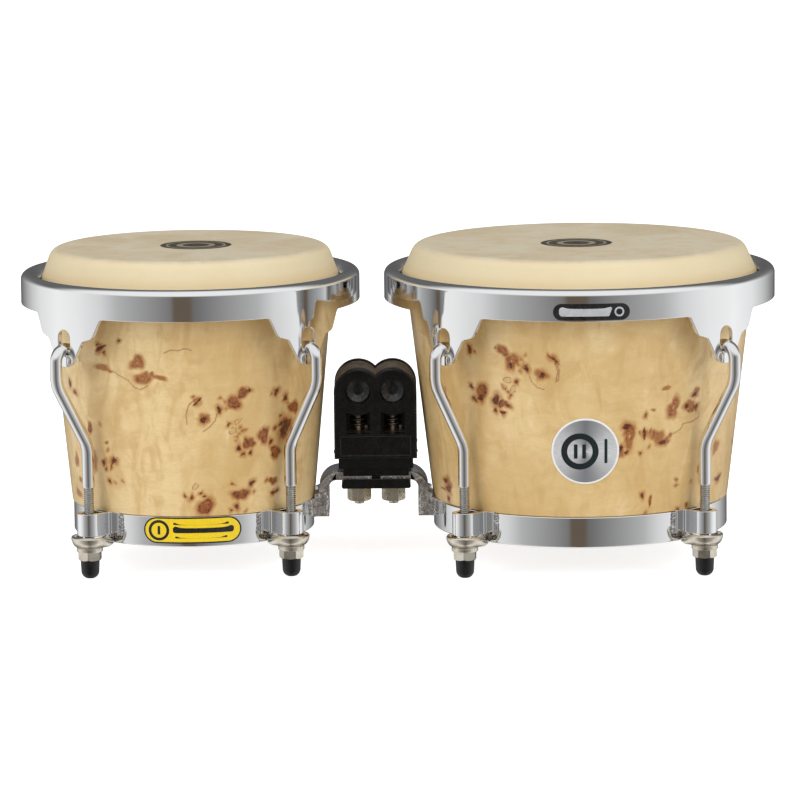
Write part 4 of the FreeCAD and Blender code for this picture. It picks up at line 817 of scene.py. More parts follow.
LINES_MACHO = [
    [(-32.9, 128.8), (-30.0, 126.3), (-26.8, 124.2), (-24.9, 123.2), (-22.8, 119.3), (-19.7, 117.9), (-16.5, 120.6)],
    [(-9.0, 140.7), (-6.1, 142.8), (-3.3, 142.2), (-0.5, 143.6), (2.3, 142.5)],
    [(0.1, 96.7), (-0.4, 102.8), (0.7, 108.6), (3.2, 112.2), (5.3, 113.5)],
    [(12.9, 102.9), (12.1, 98.7), (9.9, 95.1), (7.1, 92.2)],
    [(1.1, 109.5), (4.1, 112.5), (5.6, 113.1)],
]
LINES_HEMBRA = [
    [(45.2, 99.5), (45.2, 96.4), (42.0, 94.2), (37.7, 93.6), (36.7, 90.7), (34.3, 88.7), (32.1, 88.4)],
    [(-12.6, 139.5), (-10.3, 135.3), (-8.9, 130.5), (-9.3, 124.4), (-10.2, 123.2)],
    [(-19.4, 126.6), (-18.8, 123.3), (-17.1, 119.8), (-14.4, 118.3)],
    [(-10.3, 134.1), (-9.5, 129.3), (-10.1, 124.4)],
]

def more_spots(seed, n_clusters):
    """Seeded clusters for the sides and back that the photograph doesn't show."""
    g = np.random.default_rng(seed)
    out, lines = [], []
    for _ in range(n_clusters):
        az = g.uniform(74, 286)
        if az > 180:
            az -= 360
        z = g.uniform(48, 172)
        kind = g.choice(["tight", "smudge", "eye"])
        k = int(g.integers(5, 12))
        for _ in range(k):
            a, h = az + g.normal(0, 5.5), z + g.normal(0, 8.5)
            r = g.uniform(0.6, 2.6) if kind == "tight" else g.uniform(0.8, 3.4)
            out.append((a, h, r, r * g.uniform(0.7, 1.4), g.uniform(-40, 40), "k" if g.random() < 0.65 else "e"))
        if kind != "tight":
            out.append((az, z, g.uniform(4, 7), g.uniform(3, 7), g.uniform(-30, 30), "s"))
            out.append((az + g.normal(0, 3), z + g.normal(0, 3), g.uniform(2.5, 4.5), g.uniform(2.5, 4.5), 0, "w"))
        if g.random() < 0.6:
            p = np.array([az, z], float)
            d = g.uniform(0, 2 * math.pi)
            pts = [tuple(p)]
            for _ in range(6):
                d += g.normal(0, 0.5)
                p = p + np.array([2.6 * math.cos(d), 3.6 * math.sin(d)])
                pts.append(tuple(p))
            lines.append(pts)
    return out, lines


def wood_fields(spots, lines, lo, hi, xc, seed):
    """Knot, halo, pale heart and crack strength at each vertex."""
    g = np.random.default_rng(seed)
    spots = list(spots)
    jitter = [(g.uniform(0, 6.28), g.uniform(0, 6.28), g.uniform(0.10, 0.26), g.uniform(0.06, 0.18)) for _ in spots]

    def fields(V):
        x, y, z = V[:, 0] - xc, V[:, 1], V[:, 2]
        r = np.hypot(x, y)
        az = np.degrees(np.arctan2(x, -y))
        outside = r > lo + (hi - lo) * np.clip((z - 39.7) / 148.5, 0, 1) - 1.0
        knot, halo, pale, crack = (np.zeros(len(V)) for _ in range(4))
        for (a, h, rx, rz, tilt, kind), (p1, p2, j1, j2) in zip(spots, jitter):
            da = (az - a + 180) % 360 - 180
            u, w = np.radians(da) * r, z - h
            near = (np.abs(u) < 16) & (np.abs(w) < 16) & outside
            if not near.any():
                continue
            un, wn = u[near], w[near]
            t = math.radians(tilt)
            uu, ww = un * math.cos(t) + wn * math.sin(t), -un * math.sin(t) + wn * math.cos(t)
            ang = np.arctan2(ww / rz, uu / rx)
            wav = 1 + j1 * np.sin(2 * ang + p1) + j2 * np.sin(3 * ang + p2) + 0.5 * j2 * np.sin(5 * ang - p1)
            rho = np.hypot(uu / rx, ww / rz) / wav
            size = math.sqrt(rx * rz)
            soft = 0.55 / max(size, 0.55)
            if kind == "k":
                f = np.clip((1 + soft - rho) / (2 * soft), 0, 1) if size < 1.4 else np.clip((1.25 - rho) / 0.6, 0, 1)
                knot[near] = np.maximum(knot[near], f * (0.95 if size > 0.7 else 0.8))
                halo[near] = np.maximum(halo[near], 0.75 * np.clip(1 - (np.hypot(uu, ww) / wav - size) / (1.9 + 0.9 * size), 0, 1))
            elif kind in ("e", "w"):
                band = np.exp(-((rho - 0.86) / 0.26) ** 2)
                fill_in = np.clip((1.0 - rho) / 0.3, 0, 1) * (0.62 if kind == "e" else 0.42)
                knot[near] = np.maximum(knot[near], np.maximum(band * (0.84 if kind == "e" else 0.60), fill_in))
                halo[near] = np.maximum(halo[near], 0.9 * np.clip((2.1 - rho) / 1.1, 0, 1))
                pale[near] = np.maximum(pale[near], np.clip((0.42 - rho) / 0.3, 0, 1) * (0.35 if kind == "e" else 0.9))
            elif kind == "r":
                band = np.exp(-((rho - 1.0) / 0.24) ** 2)
                crack[near] = np.maximum(crack[near], band)
                halo[near] = np.maximum(halo[near], 0.35 * np.clip((1.4 - rho) / 0.6, 0, 1))
            else:
                halo[near] = np.maximum(halo[near], 0.92 * np.clip((1.35 - rho) / 0.8, 0, 1))
        for line in lines:
            P = np.array(line, float)
            for k in range(len(P) - 1):
                a, b = P[k], P[k + 1]
                da = (az - a[0] + 180) % 360 - 180
                u, w = np.radians(da) * r, z - a[1]
                du, dw = math.radians(b[0] - a[0]) * hi, b[1] - a[1]
                L2 = du * du + dw * dw
                s = np.clip((u * du + w * dw) / max(L2, 1e-6), 0, 1)
                d = np.hypot(u - s * du, w - s * dw)
                f = np.exp(-(d / 0.62) ** 2) * outside
                crack = np.maximum(crack, 0.9 * f)
                halo = np.maximum(halo, 0.25 * np.exp(-(d / 2.2) ** 2) * outside)
        return knot, halo, pale, crack

    return fields


def place(o, body, slot, *nodes):
    if nodes:
        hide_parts(*nodes)
    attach(o, body)
    return o


def hex_radius(n, flats, turn=0.0, round_=0.35):
    a = np.arange(n) * 2 * math.pi / n
    q = (a - math.radians(turn)) % (math.pi / 3) - math.pi / 6
    return a, (flats / 2) / np.cos(q)


def hex_nut(z0, z1, flats, bore, turn=0.0, flange=None, collar=None):
    """A chamfered hexagon nut; flange = (z from, radius) gives it a round dished flange on top."""
    n = 144
    a, hr = hex_radius(n, flats, turn)
    corner = flats / 2 / math.cos(math.pi / 6)
    rows = []
    h = z1 - z0

    def ring(limit, z):
        rows.append((np.minimum(hr, limit), np.full(n, z)))

    rows.append((np.full(n, bore + 0.1), np.full(n, z0 + 1.2)))
    rows.append((np.full(n, bore + 0.1), np.full(n, z0 + 0.5)))
    rows.append((np.full(n, bore + 0.7), np.full(n, z0)))
    rows.append((np.full(n, flats / 2 - 0.35), np.full(n, z0)))
    rows.append((np.full(n, flats / 2 - 0.12), np.full(n, z0 + 0.06)))
    for k in range(7):
        lim = flats / 2 + (corner - flats / 2) * k / 6
        drop = 0.12 + (lim - flats / 2) * 0.75
        rows.append((np.minimum(hr, lim), z0 + np.where(hr > lim, drop, 0.12 + (np.minimum(hr, lim) - flats / 2) * 0.75)))
    top = z1 if flange is None else flange[0]
    if flange is None:
        for k in range(6, -1, -1):
            lim = flats / 2 + (corner - flats / 2) * k / 6
            rows.append((np.minimum(hr, lim), z1 - np.where(hr > lim, 0.12 + (lim - flats / 2) * 0.75, 0.12 + (np.minimum(hr, lim) - flats / 2) * 0.75)))
        rows.append((np.full(n, flats / 2 - 0.35), np.full(n, z1)))
        rows.append((np.full(n, bore + 0.1), np.full(n, z1)))
    else:
        fz, fr = flange
        rows.append((hr - 0.02, np.full(n, fz - 0.15)))
        rows.append((np.minimum(hr + 0.15, fr - 0.5), np.full(n, fz)))
        for k in range(7):
            q = math.pi / 2 * k / 6
            rows.append((np.full(n, fr - 0.75 + 0.75 * math.sin(q)), np.full(n, fz + 0.75 - 0.75 * math.cos(q))))
        for k in range(1, 7):
            q = math.pi / 2 * k / 6
            rows.append((np.full(n, fr - 0.9 + 0.9 * math.cos(q)), np.full(n, z1 - 0.9 + 0.9 * math.sin(q))))
        rows.append((np.full(n, bore + 0.1), np.full(n, z1)))
    R = np.array([r for r, z in rows])
    Z = np.array([z for r, z in rows])
    V = np.stack([R * np.cos(a), R * np.sin(a), Z], -1).reshape(-1, 3)
    m = len(rows)
    I, J = np.meshgrid(np.arange(m - 1), np.arange(n), indexing="ij")
    J2 = (J + 1) % n
    Q = np.stack([I * n + J, (I + 1) * n + J, (I + 1) * n + J2, I * n + J2], -1).reshape(-1, 4)
    return V, Q


def plain(name, V, faces, material, sharp=32.0, weighted=True):
    """A mesh whose normals come from its angles: flat facets stay flat, rounds stay smooth."""
    me = bpy.data.meshes.new(name)
    me.from_pydata([tuple(v * 0.001) for v in V], [], [tuple(int(i) for i in f) for f in faces])
    me.validate()
    me.shade_smooth()
    me.set_sharp_from_angle(angle=math.radians(sharp))
    me.materials.append(material)
    o = bpy.data.objects.new(name, me)
    bpy.context.scene.collection.objects.link(o)
    if weighted:
        w = o.modifiers.new("facets", "WEIGHTED_NORMAL")
        w.keep_sharp = True
        w.weight = 50
    return o


def oriented(V, Q, centre_line=None):
    """Turns faces outward from a vertical axis at the origin, by signed volume."""
    p = V[Q]
    vol = np.einsum("ij,ij->i", p[:, 0], np.cross(p[:, 1], p[:, 2])).sum() + np.einsum("ij,ij->i", p[:, 0], np.cross(p[:, 2], p[:, 3])).sum()
    return Q if vol > 0 else Q[:, ::-1]


# ---- drums ----------------------------------------------------------------------------------------------------
def shell(d, c, spots, lines, seed):
    band_in = c["ring"] - 3.0
    reb = band_in - 0.1
    w, lo, hi = 10.5, c["lo"], c["hi"]
    # the bearing edge: a round that leans into a bevel
    bz, sr, lean = 187.7, 6.5, c["ls"] / c["lc"]
    slope = (hi - lo) / 148.5
    er, ez = c["bear"] + sr * c["lc"], bz + sr * c["ls"]
    bevel_z = (er + ez * lean - lo + slope * 39.7) / (slope + lean)
    crest_r = hi - w + 1.2
    a0, a1 = math.atan2(c["ls"], c["lc"]), math.acos((crest_r - c["bear"]) / sr)
    edge = [(c["bear"] + sr * math.cos(a0 + (a1 - a0) * k / 8), bz + sr * math.sin(a0 + (a1 - a0) * k / 8), 0.2) for k in range(9)]
    xy, nn = prof([
        (reb - w + 4, 23.5, 0.3), (reb, 23.5, 0.3), (reb, 39.7, 0.2), (lo, 39.7, 0.5),
        (er + (ez - bevel_z) * lean, bevel_z, 1.0), *edge, (hi - w, edge[-1][1] - 1.2, 0.5), (lo - w, 51.7, 2.0),
    ])
    # the outside wall is a fine grid that carries the wood's knots
    xy, nn = spread(xy, nn, 0.8, 39.5, 188.6)
    r_out = lo + (hi - lo) * np.clip((xy[:, 1] - 39.7) / 148.5, 0, 1)
    keep = (xy[:, 0] > r_out - 4.8) | (np.arange(len(xy)) % 6 == 0) | (xy[:, 1] > 188) | (xy[:, 1] < 41)
    xy, nn = xy[keep], nn[keep]
    n = int(2 * math.pi * hi / 0.8)
    s = lathe(xy, nn, n, x=c["x"])
    V, _ = s.arrays()
    k, h, p, cr = wood_fields(spots, lines, lo, hi, c["x"], seed)(V)
    o = make(d + "_shell_wood", s, M["wood"], fields={"knot": k, "halo": h, "pale": p, "crack": cr})
    o.data.materials.append(M["raw"])
    # raw wood inside and on the bearing edge's inner part
    me = o.data
    mid = np.zeros(len(me.polygons) * 3)
    me.polygons.foreach_get("center", mid)
    mid = mid.reshape(-1, 3) * 1000
    r = np.hypot(mid[:, 0] - c["x"], mid[:, 1])
    wall = lo + (hi - lo) * np.clip((mid[:, 2] - 39.7) / 148.5, 0, 1)
    idx = (r < wall - 4.5).astype(np.int32)
    me.polygons.foreach_set("material_index", idx)
    return place(o, "frame", "burl_wood", d + "_shell")


def head(d, c, cx, cy):
    lo, hi = c["lo"], c["hi"]
    hx, hz, hr, ho, g, t = c["hoop"], 169.8, 2.45, 3.85, 0.1, 1.4
    bear, lc, ls, low = c["bear"], c["lc"], c["ls"], c["collar"]
    lean = math.degrees(math.atan2(ls, lc))

    def arc(cx_, cz_, r_, a0, a1, k=10):
        return [(cx_ + r_ * math.cos(math.radians(a0 + (a1 - a0) * i / k)), cz_ + r_ * math.sin(math.radians(a0 + (a1 - a0) * i / k))) for i in range(k + 1)]

    crown = 6.5 + g
    inner = [(0.0, 194.3)] + [(r_, 194.3) for r_ in np.linspace(8, bear - 2, 12)]
    inner += arc(bear, 187.7, crown, 90, lean)
    inner += [(low - t * lc, 177.8 - t * ls)]
    inner += arc(hx, hz, ho, 180, 360, 18) + arc(hx, hz, ho, 0, 90, 8)[1:]
    back = arc(hx, hz, hr, 90, 0, 8) + arc(hx, hz, hr, 0, -180, 18)[1:]
    wall = [(low, 177.8), (bear + (crown + t) * lc, 187.7 + (crown + t) * ls)]
    back += [tuple(np.array(wall[0]) + (np.array(wall[1]) - np.array(wall[0])) * k / 5) for k in range(5)]
    back += arc(bear, 187.7, crown + t, lean, 90, 14)
    back += [(r_, 195.7) for r_ in np.linspace(bear - 2, 8, 16)] + [(0.0, 195.7)]
    xy = np.array(inner + back)
    T = np.gradient(xy, axis=0)
    T /= np.maximum(np.linalg.norm(T, axis=1, keepdims=True), 1e-9)
    # the section is travelled with the hide on its left
    nn = np.stack([T[:, 1], -T[:, 0]], -1)
    for i in range(len(xy)):
        if abs(xy[i, 1] - 195.7) < 1e-6:
            nn[i] = (0, 1)
        if abs(xy[i, 1] - 194.3) < 1e-6:
            nn[i] = (0, -1)
    g2 = np.random.default_rng(11 if d == "macho" else 12)
    ph = g2.uniform(0, 6.28, 6)

    def wobble(p, a):
        # the pulled collar is very slightly uneven round the hoop
        k = np.clip((186 - p[:, 1]) / 14, 0, 1)[:, None] * (p[:, 0] > bear + 6)[:, None]
        f = sum(np.sin(m * a + ph[i]) / m for i, m in enumerate((7, 11, 17, 23, 31, 43)))
        return 0.10 * k * f[None, :], 0.0 * k

    s = lathe(xy, nn, 288, closed=False, x=c["x"], wobble=wobble)
    o = make(d + "_head_hide", s, hide(d + "_hide", (c["x"] + cx) * 0.001, cy * 0.001), weld=True)
    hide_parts(d + "_head")
    return o


def rim(d, c):
    R, rw, lip = c["rim"], 2.8, c["lip"]
    ri = R - 4.5 - lip
    xy, nn = prof([
        (R, 165.0), (R, 181.2, 4.5), (lip, 181.2, ri), (lip, 173.75, 0.45), (lip + rw, 173.75, 0.45),
        (lip + rw, 178.4, ri - rw), (R - rw, 178.4, 1.7), (R - rw, 165.0),
    ], closed=False, turn=5.0)
    xy, nn = spread(xy, nn, 2.5)
    n = 360
    top = lathe(xy, nn, n, closed=False, start=45.0)
    # one quarter of the band and its tab, unrolled; tabs are at 45 degrees
    half = R * math.pi / 4
    side = [(0.0, 131.4), (5.94, 131.4, 8.2), (15.57, 148.09, 3.5), (22.79, 150.23, 4.3), (28.64, 162.0, 3.15), (R * math.sin(math.pi / 4), 162.0)]
    sxy, snn = prof(side, closed=False, turn=7.0)
    sxy, snn = spread(sxy, snn, 2.0)
    bev = 0.6

    def wrap_u(p):
        return np.column_stack([R * np.arcsin(np.clip(p[:, 0] / R, -1, 1)), p[:, 1]])

    def wrap_n(p, nrm):
        # in-plane normal after unrolling: the width direction is stretched by 1 / cos
        k = np.sqrt(1 - np.clip(p[:, 0] / R, -0.999, 0.999) ** 2)
        q = np.column_stack([nrm[:, 0] * k, nrm[:, 1]])
        return q / np.linalg.norm(q, axis=1, keepdims=True)

    right, rn = wrap_u(sxy), wrap_n(sxy, snn)
    left, ln = right[::-1] * [-1, 1], rn[::-1] * [-1, 1]
    chain = np.concatenate([left[:-1], right])
    cn = np.concatenate([ln[:-1], rn])
    chain[0, 0], chain[-1, 0] = -half, half
    cn[0] = cn[-1] = (0, -1)
    slot = [(-4.9, 154.0, 4.85), (-5.6, 138.0, 5.5), (5.6, 138.0, 5.5), (4.9, 154.0, 4.85)]
    hxy, hnn = prof(slot, closed=True, turn=10.0)
    hxy, hnn = spread(np.vstack([hxy, hxy[:1]]), np.vstack([hnn, hnn[:1]]), 1.6)
    hxy, hnn = hxy[:-1], hnn[:-1]
    # metal is outside the slot, so its edge normal points into the opening
    hole, hn = wrap_u(hxy), wrap_n(hxy, -hnn)
    if ((hole - [0, 146]) * hn).sum() > 0:
        hn = -hn
    ci, hi_ = chain - cn * bev, hole - hn * bev
    tops = np.column_stack([R * (np.arange(n // 4 + 1) - n // 8) * 2 * math.pi / n, np.full(n // 4 + 1, 165.0)])
    border = np.vstack([ci, tops[::-1]])
    gx, gz = np.meshgrid(np.arange(-half + 1.3, half - 1, 2.1), np.arange(131.0, 165, 2.1))
    gx = gx + (np.arange(gx.shape[0]) % 2)[:, None] * 1.05
    P, T = fill(border, [hi_], np.column_stack([gx.ravel(), gz.ravel()]))

    def to3(p, radius):
        a = p[:, 0] / R
        return np.column_stack([radius * np.cos(a), radius * np.sin(a), p[:, 1]])

    def radial(p):
        a = p[:, 0] / R
        return np.column_stack([np.cos(a), np.sin(a), 0 * a])

    def inplane(p, nrm):
        a = p[:, 0] / R
        return np.column_stack([-np.sin(a) * nrm[:, 0], np.cos(a) * nrm[:, 0], nrm[:, 1]])

    q = Shape()
    q.add(to3(P, R), radial(P), T)
    q.add(to3(P, R - rw), -radial(P), T)
    for loop_, nrm, closed in ((ci, cn, False), (hi_, hn, True)):
        rows, norms = [], []
        st = 5
        for k in range(st + 1):
            t = math.pi / 2 * k / st
            rows.append(to3(loop_ + nrm * bev * math.sin(t), R - bev * (1 - math.cos(t))))
            norms.append(inplane(loop_, nrm) * math.sin(t) + radial(loop_) * math.cos(t))
        for k in range(st + 1):
            t = math.pi / 2 * (1 - k / st)
            rows.append(to3(loop_ + nrm * bev * math.sin(t), R - rw + bev * (1 - math.cos(t))))
            norms.append(inplane(loop_, nrm) * math.sin(t) - radial(loop_) * math.cos(t))
        m = len(loop_)
        I, J = np.meshgrid(np.arange(len(rows) - 1), np.arange(m if closed else m - 1), indexing="ij")
        J2 = (J + 1) % m
        Q = np.stack([I * m + J, I * m + J2, (I + 1) * m + J2, (I + 1) * m + J], -1).reshape(-1, 4)
        q.add(np.concatenate(rows), np.concatenate(norms), Q)
    s = Shape()
    s.merge(top)
    for k in range(4):
        s.merge(q, rot_z(45 + 90 * k))
    out = Shape().merge(s, x=c["x"])
    o = make(d + "_rim_chrome", out, M["chrome"], weld=True)
    return place(o, d + "_tension_hardware", "chrome", d + "_rim")


def bottom_ring(d, c):
    R = c["ring"]
    b = R - 3.0
    xy, nn = prof([(b - 7, 21.0, 0.4), (R, 21.0, 0.9), (R, 39.5, 0.9), (b, 39.5, 0.3), (b, 23.5, 0.3), (b - 7, 23.5, 0.4)], turn=12)
    o = make(d + "_ring_chrome", lathe(xy, nn, 360, x=c["x"]), M["chrome"])
    return place(o, "frame", "chrome", d + "_bottom_ring")


def thread(z0, z1, r, pitch=1.27, n=22, per=7, depth=0.62):
    """A helical V thread with a tapered start, round a vertical axis at the origin."""
    m = int((z1 - z0) / pitch * per) + 1
    a = np.arange(n) * 2 * math.pi / n
    z = np.linspace(z0, z1, m)
    ph = (z[:, None] / pitch - a[None, :] / (2 * math.pi)) % 1.0
    tri = np.abs(ph * 2 - 1)
    prof_ = np.clip((tri - 0.12) / 0.76, 0, 1)
    fade = np.clip(np.minimum((z - z0) / 1.2, (z1 - z) / 2.0), 0, 1)[:, None]
    R = r - depth * (1 - prof_) * fade - 0.35 * np.clip(1 - (z - z0) / 0.8, 0, 1)[:, None]
    V = np.stack([R * np.cos(a), R * np.sin(a), z[:, None] + 0 * R], -1)
    dz = np.gradient(R, axis=0) / (z[1] - z[0])
    da = (np.roll(R, -1, 1) - np.roll(R, 1, 1)) / (2 * (a[1] - a[0]))
    rad = np.stack([np.cos(a), np.sin(a), 0 * a], -1)[None]
    tan = np.stack([-np.sin(a), np.cos(a), 0 * a], -1)[None]
    N = rad - tan * (da / R)[..., None] - np.array([0, 0, 1.0]) * dz[..., None]
    I, J = np.meshgrid(np.arange(m - 1), np.arange(n), indexing="ij")
    J2 = (J + 1) % n
    Q = np.stack([I * n + J, I * n + J2, (I + 1) * n + J2, (I + 1) * n + J], -1).reshape(-1, 4)
    s = Shape().add(V.reshape(-1, 3), N.reshape(-1, 3), Q)
    for row, up in ((0, -1.0), (m - 1, 1.0)):
        ring = V[row]
        s.add(np.vstack([ring, [[0, 0, ring[0, 2]]]]), np.broadcast_to([0, 0, up], (n + 1, 3)), np.stack([np.arange(n), (np.arange(n) + 1) % n, np.full(n, n)], -1))
    return s


def hook(d, c, word, angle):
    lo, hi = c["hook_lo"], c["hook_hi"]
    path, _ = prof([(lo, 56.6), (lo, 81.2, 18.5), (hi, 121.3, 18.5), (hi, 142.35, 7.44), (hi - 14.9, 142.35, 7.44), (hi - 14.9, 134.9)], closed=False, turn=5.0)
    path, _ = spread(path, path * 0, 2.2)
    P = np.column_stack([path[:, 0], 0 * path[:, 0], path[:, 1]])
    s = tube(P, 3.75, 32, cap=(1.1, 1.0))
    # the rolled thread runs out below the plain shank
    o = make(f"{d}_hook_rod_{word}", Shape().merge(s, rot_z(angle), x=c["x"]), M["rod"])
    place(o, d + "_tension_hardware", "chrome", f"{d}_hook_{word}")
    t = thread(3.2, 57.2, 3.175)
    a = math.radians(angle)
    t2 = Shape().merge(t, x=c["x"] + lo * math.cos(a), y=lo * math.sin(a))
    th = make(f"{d}_hook_thread_{word}", t2, M["thread"])
    place(th, d + "_tension_hardware", "chrome")


def nut(d, c, word, angle):
    V, Q = hex_nut(11.2, 19.4, 13.0, 3.2, 8.0 + 30, flange=(16.4, 8.0))
    Q = oriented(V, Q)
    V = V @ rot_z(angle).T
    a = math.radians(angle)
    V = V + np.array([c["x"] + c["hook_lo"] * math.cos(a), c["hook_lo"] * math.sin(a), 0])
    o = plain(f"{d}_nut_hex_{word}", V, Q, M["nickel"], 28)
    place(o, f"{d}_tuning_nut_{word}", "nickel", f"{d}_nut_{word}")


def foot_caps(d, c):
    xy, nn = prof([(0.001, 0.0), (5.34, 0.0, 4.5), (5.5, 5.2, 1.0), (5.72, 9.9, 0.5), (5.75, 11.15, 0.35), (3.3, 11.15, 0.3), (3.2, 9.6)], closed=False, turn=8)
    one = lathe(xy, nn, 56, closed=False)
    s = Shape()
    for word, angle in CORNERS:
        a = math.radians(angle)
        s.merge(one, x=c["x"] + c["hook_lo"] * math.cos(a), y=c["hook_lo"] * math.sin(a))
    o = make(d + "_cap_tips", s, M["rubber"])
    place(o, d + "_tension_hardware", "black_rubber", d + "_foot_caps")


def brackets(d, c):
    """Omega straps with their welded feet, and the weld beads beside them."""
    rx, gx = c["hook_lo"], c["ring"]
    n_out, n_in = 7.5, 4.7
    foot = gx + 0.05
    face = math.sqrt((gx + 2.9) ** 2 - (n_out + 3) ** 2)
    pts = [
        (rx + n_out, -n_out, 7.45), (rx + n_out, n_out, 7.45),
        (face, n_out, 1.7), (math.sqrt((gx + 2.5) ** 2 - (n_out + 6.2) ** 2), n_out + 6.2, 0.9),
        (math.sqrt((foot - 0.4) ** 2 - (n_out + 6.2) ** 2), n_out + 6.1, 0.2),
        (math.sqrt((foot - 0.4) ** 2 - n_out ** 2), n_out, 0.2), (math.sqrt((foot - 0.4) ** 2 - n_in ** 2), n_in, 0.3),
        (rx + n_in, n_in, 4.65), (rx + n_in, -n_in, 4.65),
        (math.sqrt((foot - 0.4) ** 2 - n_in ** 2), -n_in, 0.3), (math.sqrt((foot - 0.4) ** 2 - n_out ** 2), -n_out, 0.2),
        (math.sqrt((foot - 0.4) ** 2 - (n_out + 6.2) ** 2), -n_out - 6.1, 0.2),
        (math.sqrt((gx + 2.5) ** 2 - (n_out + 6.2) ** 2), -n_out - 6.2, 0.9), (face, -n_out, 1.7),
    ]
    xy, nn = prof(pts, turn=7)
    xy, nn = spread(np.vstack([xy, xy[:1]]), np.vstack([nn, nn[:1]]), 2.0)
    xy, nn = xy[:-1], nn[:-1]
    one = stack(xy, nn, edge_levels(26.3, 40.3, 0.35, 3))
    s = Shape()
    for word, angle in CORNERS:
        s.merge(one, rot_z(angle), x=c["x"])
    o = make(d + "_lug_straps", s, M["chrome"])
    place(o, "frame", "chrome", d + "_lug_brackets")
    # weld beads at the ends of the feet
    g = np.random.default_rng(31 if d == "macho" else 32)
    w = Shape()
    for word, angle in CORNERS:
        for sgn in (-1, 1):
            u = sgn * (n_out + 6.9)
            bx = math.sqrt((gx + 0.35) ** 2 - u ** 2)
            z = np.arange(26.9, 38.9, 0.42)
            P = np.column_stack([bx + g.normal(0, 0.10, len(z)), u + g.normal(0, 0.14, len(z)), z])

            def lumps(m, n, z=z, g=g):
                base = 1.05 + 0.16 * np.sin(np.arange(m) * 1.25 + g.uniform(0, 6))[:, None]
                return base + g.normal(0, 0.07, (m, n))

            w.merge(tube(P, lumps, 12, cap=(0.7, 0.7)), rot_z(angle), x=c["x"])
        # drips under the strap where it meets the ring
        for sgn in (-1, 1):
            u = sgn * 5.2
            bx = math.sqrt((gx + 0.6) ** 2 - u ** 2)
            zz = np.arange(25.7, 27.2, 0.5)
            P = np.column_stack([bx + 0 * zz, u + 0 * zz, zz])
            w.merge(tube(P, 1.2, 10, cap=(0.9, 0.9)), rot_z(angle), x=c["x"])
    o = make(d + "_lug_welds", w, M["weld"])
    place(o, "frame", "chrome")


def washers(d, c):
    rx, gx = c["hook_lo"], c["ring"]
    wr = 10.9
    bx = gx + 0.6
    pts = [(rx + wr, -wr, wr - 0.05), (rx + wr, wr, wr - 0.05), (bx + 3.0, 11.6, 1.2), (bx, 8.6, 1.2), (bx, -8.6, 1.2), (bx + 3.0, -11.6, 1.2)]
    xy, nn = prof(pts, turn=6)
    xy, nn = spread(np.vstack([xy, xy[:1]]), np.vstack([nn, nn[:1]]), 1.2)
    xy, nn = xy[:-1], nn[:-1]
    # the lip stands round the nose and fades towards the ring
    lip = np.clip((xy[:, 0] - (rx - 7.5)) / 9.0, 0, 1)
    lip = lip * lip * (3 - 2 * lip)
    rows, norms = [], []
    centre = np.array([rx, 0.0])

    def level(inset, z_low, z_high, tilt):
        t = math.radians(tilt)
        k = inset / wr
        p = centre + (xy - centre) * (1 - k)
        z = z_low + (z_high - z_low) * lip
        rows.append(np.column_stack([p, z]))
        norms.append(np.column_stack([nn * math.cos(t), np.full(len(xy), math.sin(t))]))

    level(6.9, 19.4, 19.4, -90)
    level(3.4, 19.4, 19.4, -88)
    level(2.6, 19.5, 19.55, -70)
    level(1.7, 19.8, 20.3, -50)
    level(0.9, 20.3, 21.5, -38)
    level(0.35, 20.8, 22.9, -20)
    level(0.0, 21.2, 24.3, -4)
    level(0.0, 21.4, 25.0, 10)
    level(0.25, 21.7, 25.8, 45)
    level(0.75, 21.9, 26.2, 75)
    level(1.25, 21.95, 26.2, 100)
    level(1.75, 21.9, 25.8, 135)
    level(2.05, 21.8, 25.0, 165)
    level(2.6, 21.75, 23.4, 150)
    level(3.6, 21.7, 22.2, 115)
    level(5.0, 21.65, 21.7, 92)
    level(6.9, 21.6, 21.6, 90)
    m = len(xy)
    I, J = np.meshgrid(np.arange(len(rows)), np.arange(m), indexing="ij")
    I2, J2 = (I + 1) % len(rows), (J + 1) % m
    Q = np.stack([I * m + J, I * m + J2, I2 * m + J2, I2 * m + J], -1).reshape(-1, 4)
    one = Shape().add(np.concatenate(rows), np.concatenate(norms), Q)
    s = Shape()
    for word, angle in CORNERS:
        s.merge(one, rot_z(angle), x=c["x"])
    o = make(d + "_washer_dishes", s, M["nickel"])
    place(o, "frame", "nickel", d + "_lug_washers")


SP_M, LN_M = more_spots(5, 11)
SP_H, LN_H = more_spots(9, 13)
shell("macho", DRUMS["macho"], SPOTS_MACHO + SP_M, LINES_MACHO + LN_M, 3)
shell("hembra", DRUMS["hembra"], SPOTS_HEMBRA + SP_H, LINES_HEMBRA + LN_H, 4)
HEADS = {"macho": head("macho", DRUMS["macho"], 3.7, -0.1), "hembra": head("hembra", DRUMS["hembra"], -1.9, -8.7)}
for d, c in DRUMS.items():
    rim(d, c)
    bottom_ring(d, c)
    for word, angle in CORNERS:
        hook(d, c, word, angle)
        nut(d, c, word, angle)
    foot_caps(d, c)
    brackets(d, c)
    washers(d, c)


# ---- centre block ---------------------------------------------------------------------------------------------
def dress(node, material, bevel=0.35, sharp=35.0, hard=False):
    """A carried-over CAD node: its material, softened edges and even facets."""
    o = NODES[node]
    o.data.materials.clear()
    o.data.materials.append(material)
    w = o.modifiers.new("joined", "WELD")
    w.merge_threshold = 0.00002
    if bevel:
        b = o.modifiers.new("edges", "BEVEL")
        b.width = bevel * 0.001
        b.segments = 3
        b.limit_method = "ANGLE"
        b.angle_limit = math.radians(sharp)
        b.harden_normals = hard
    if not hard:
        n = o.modifiers.new("facets", "WEIGHTED_NORMAL")
        n.keep_sharp = True
    return o


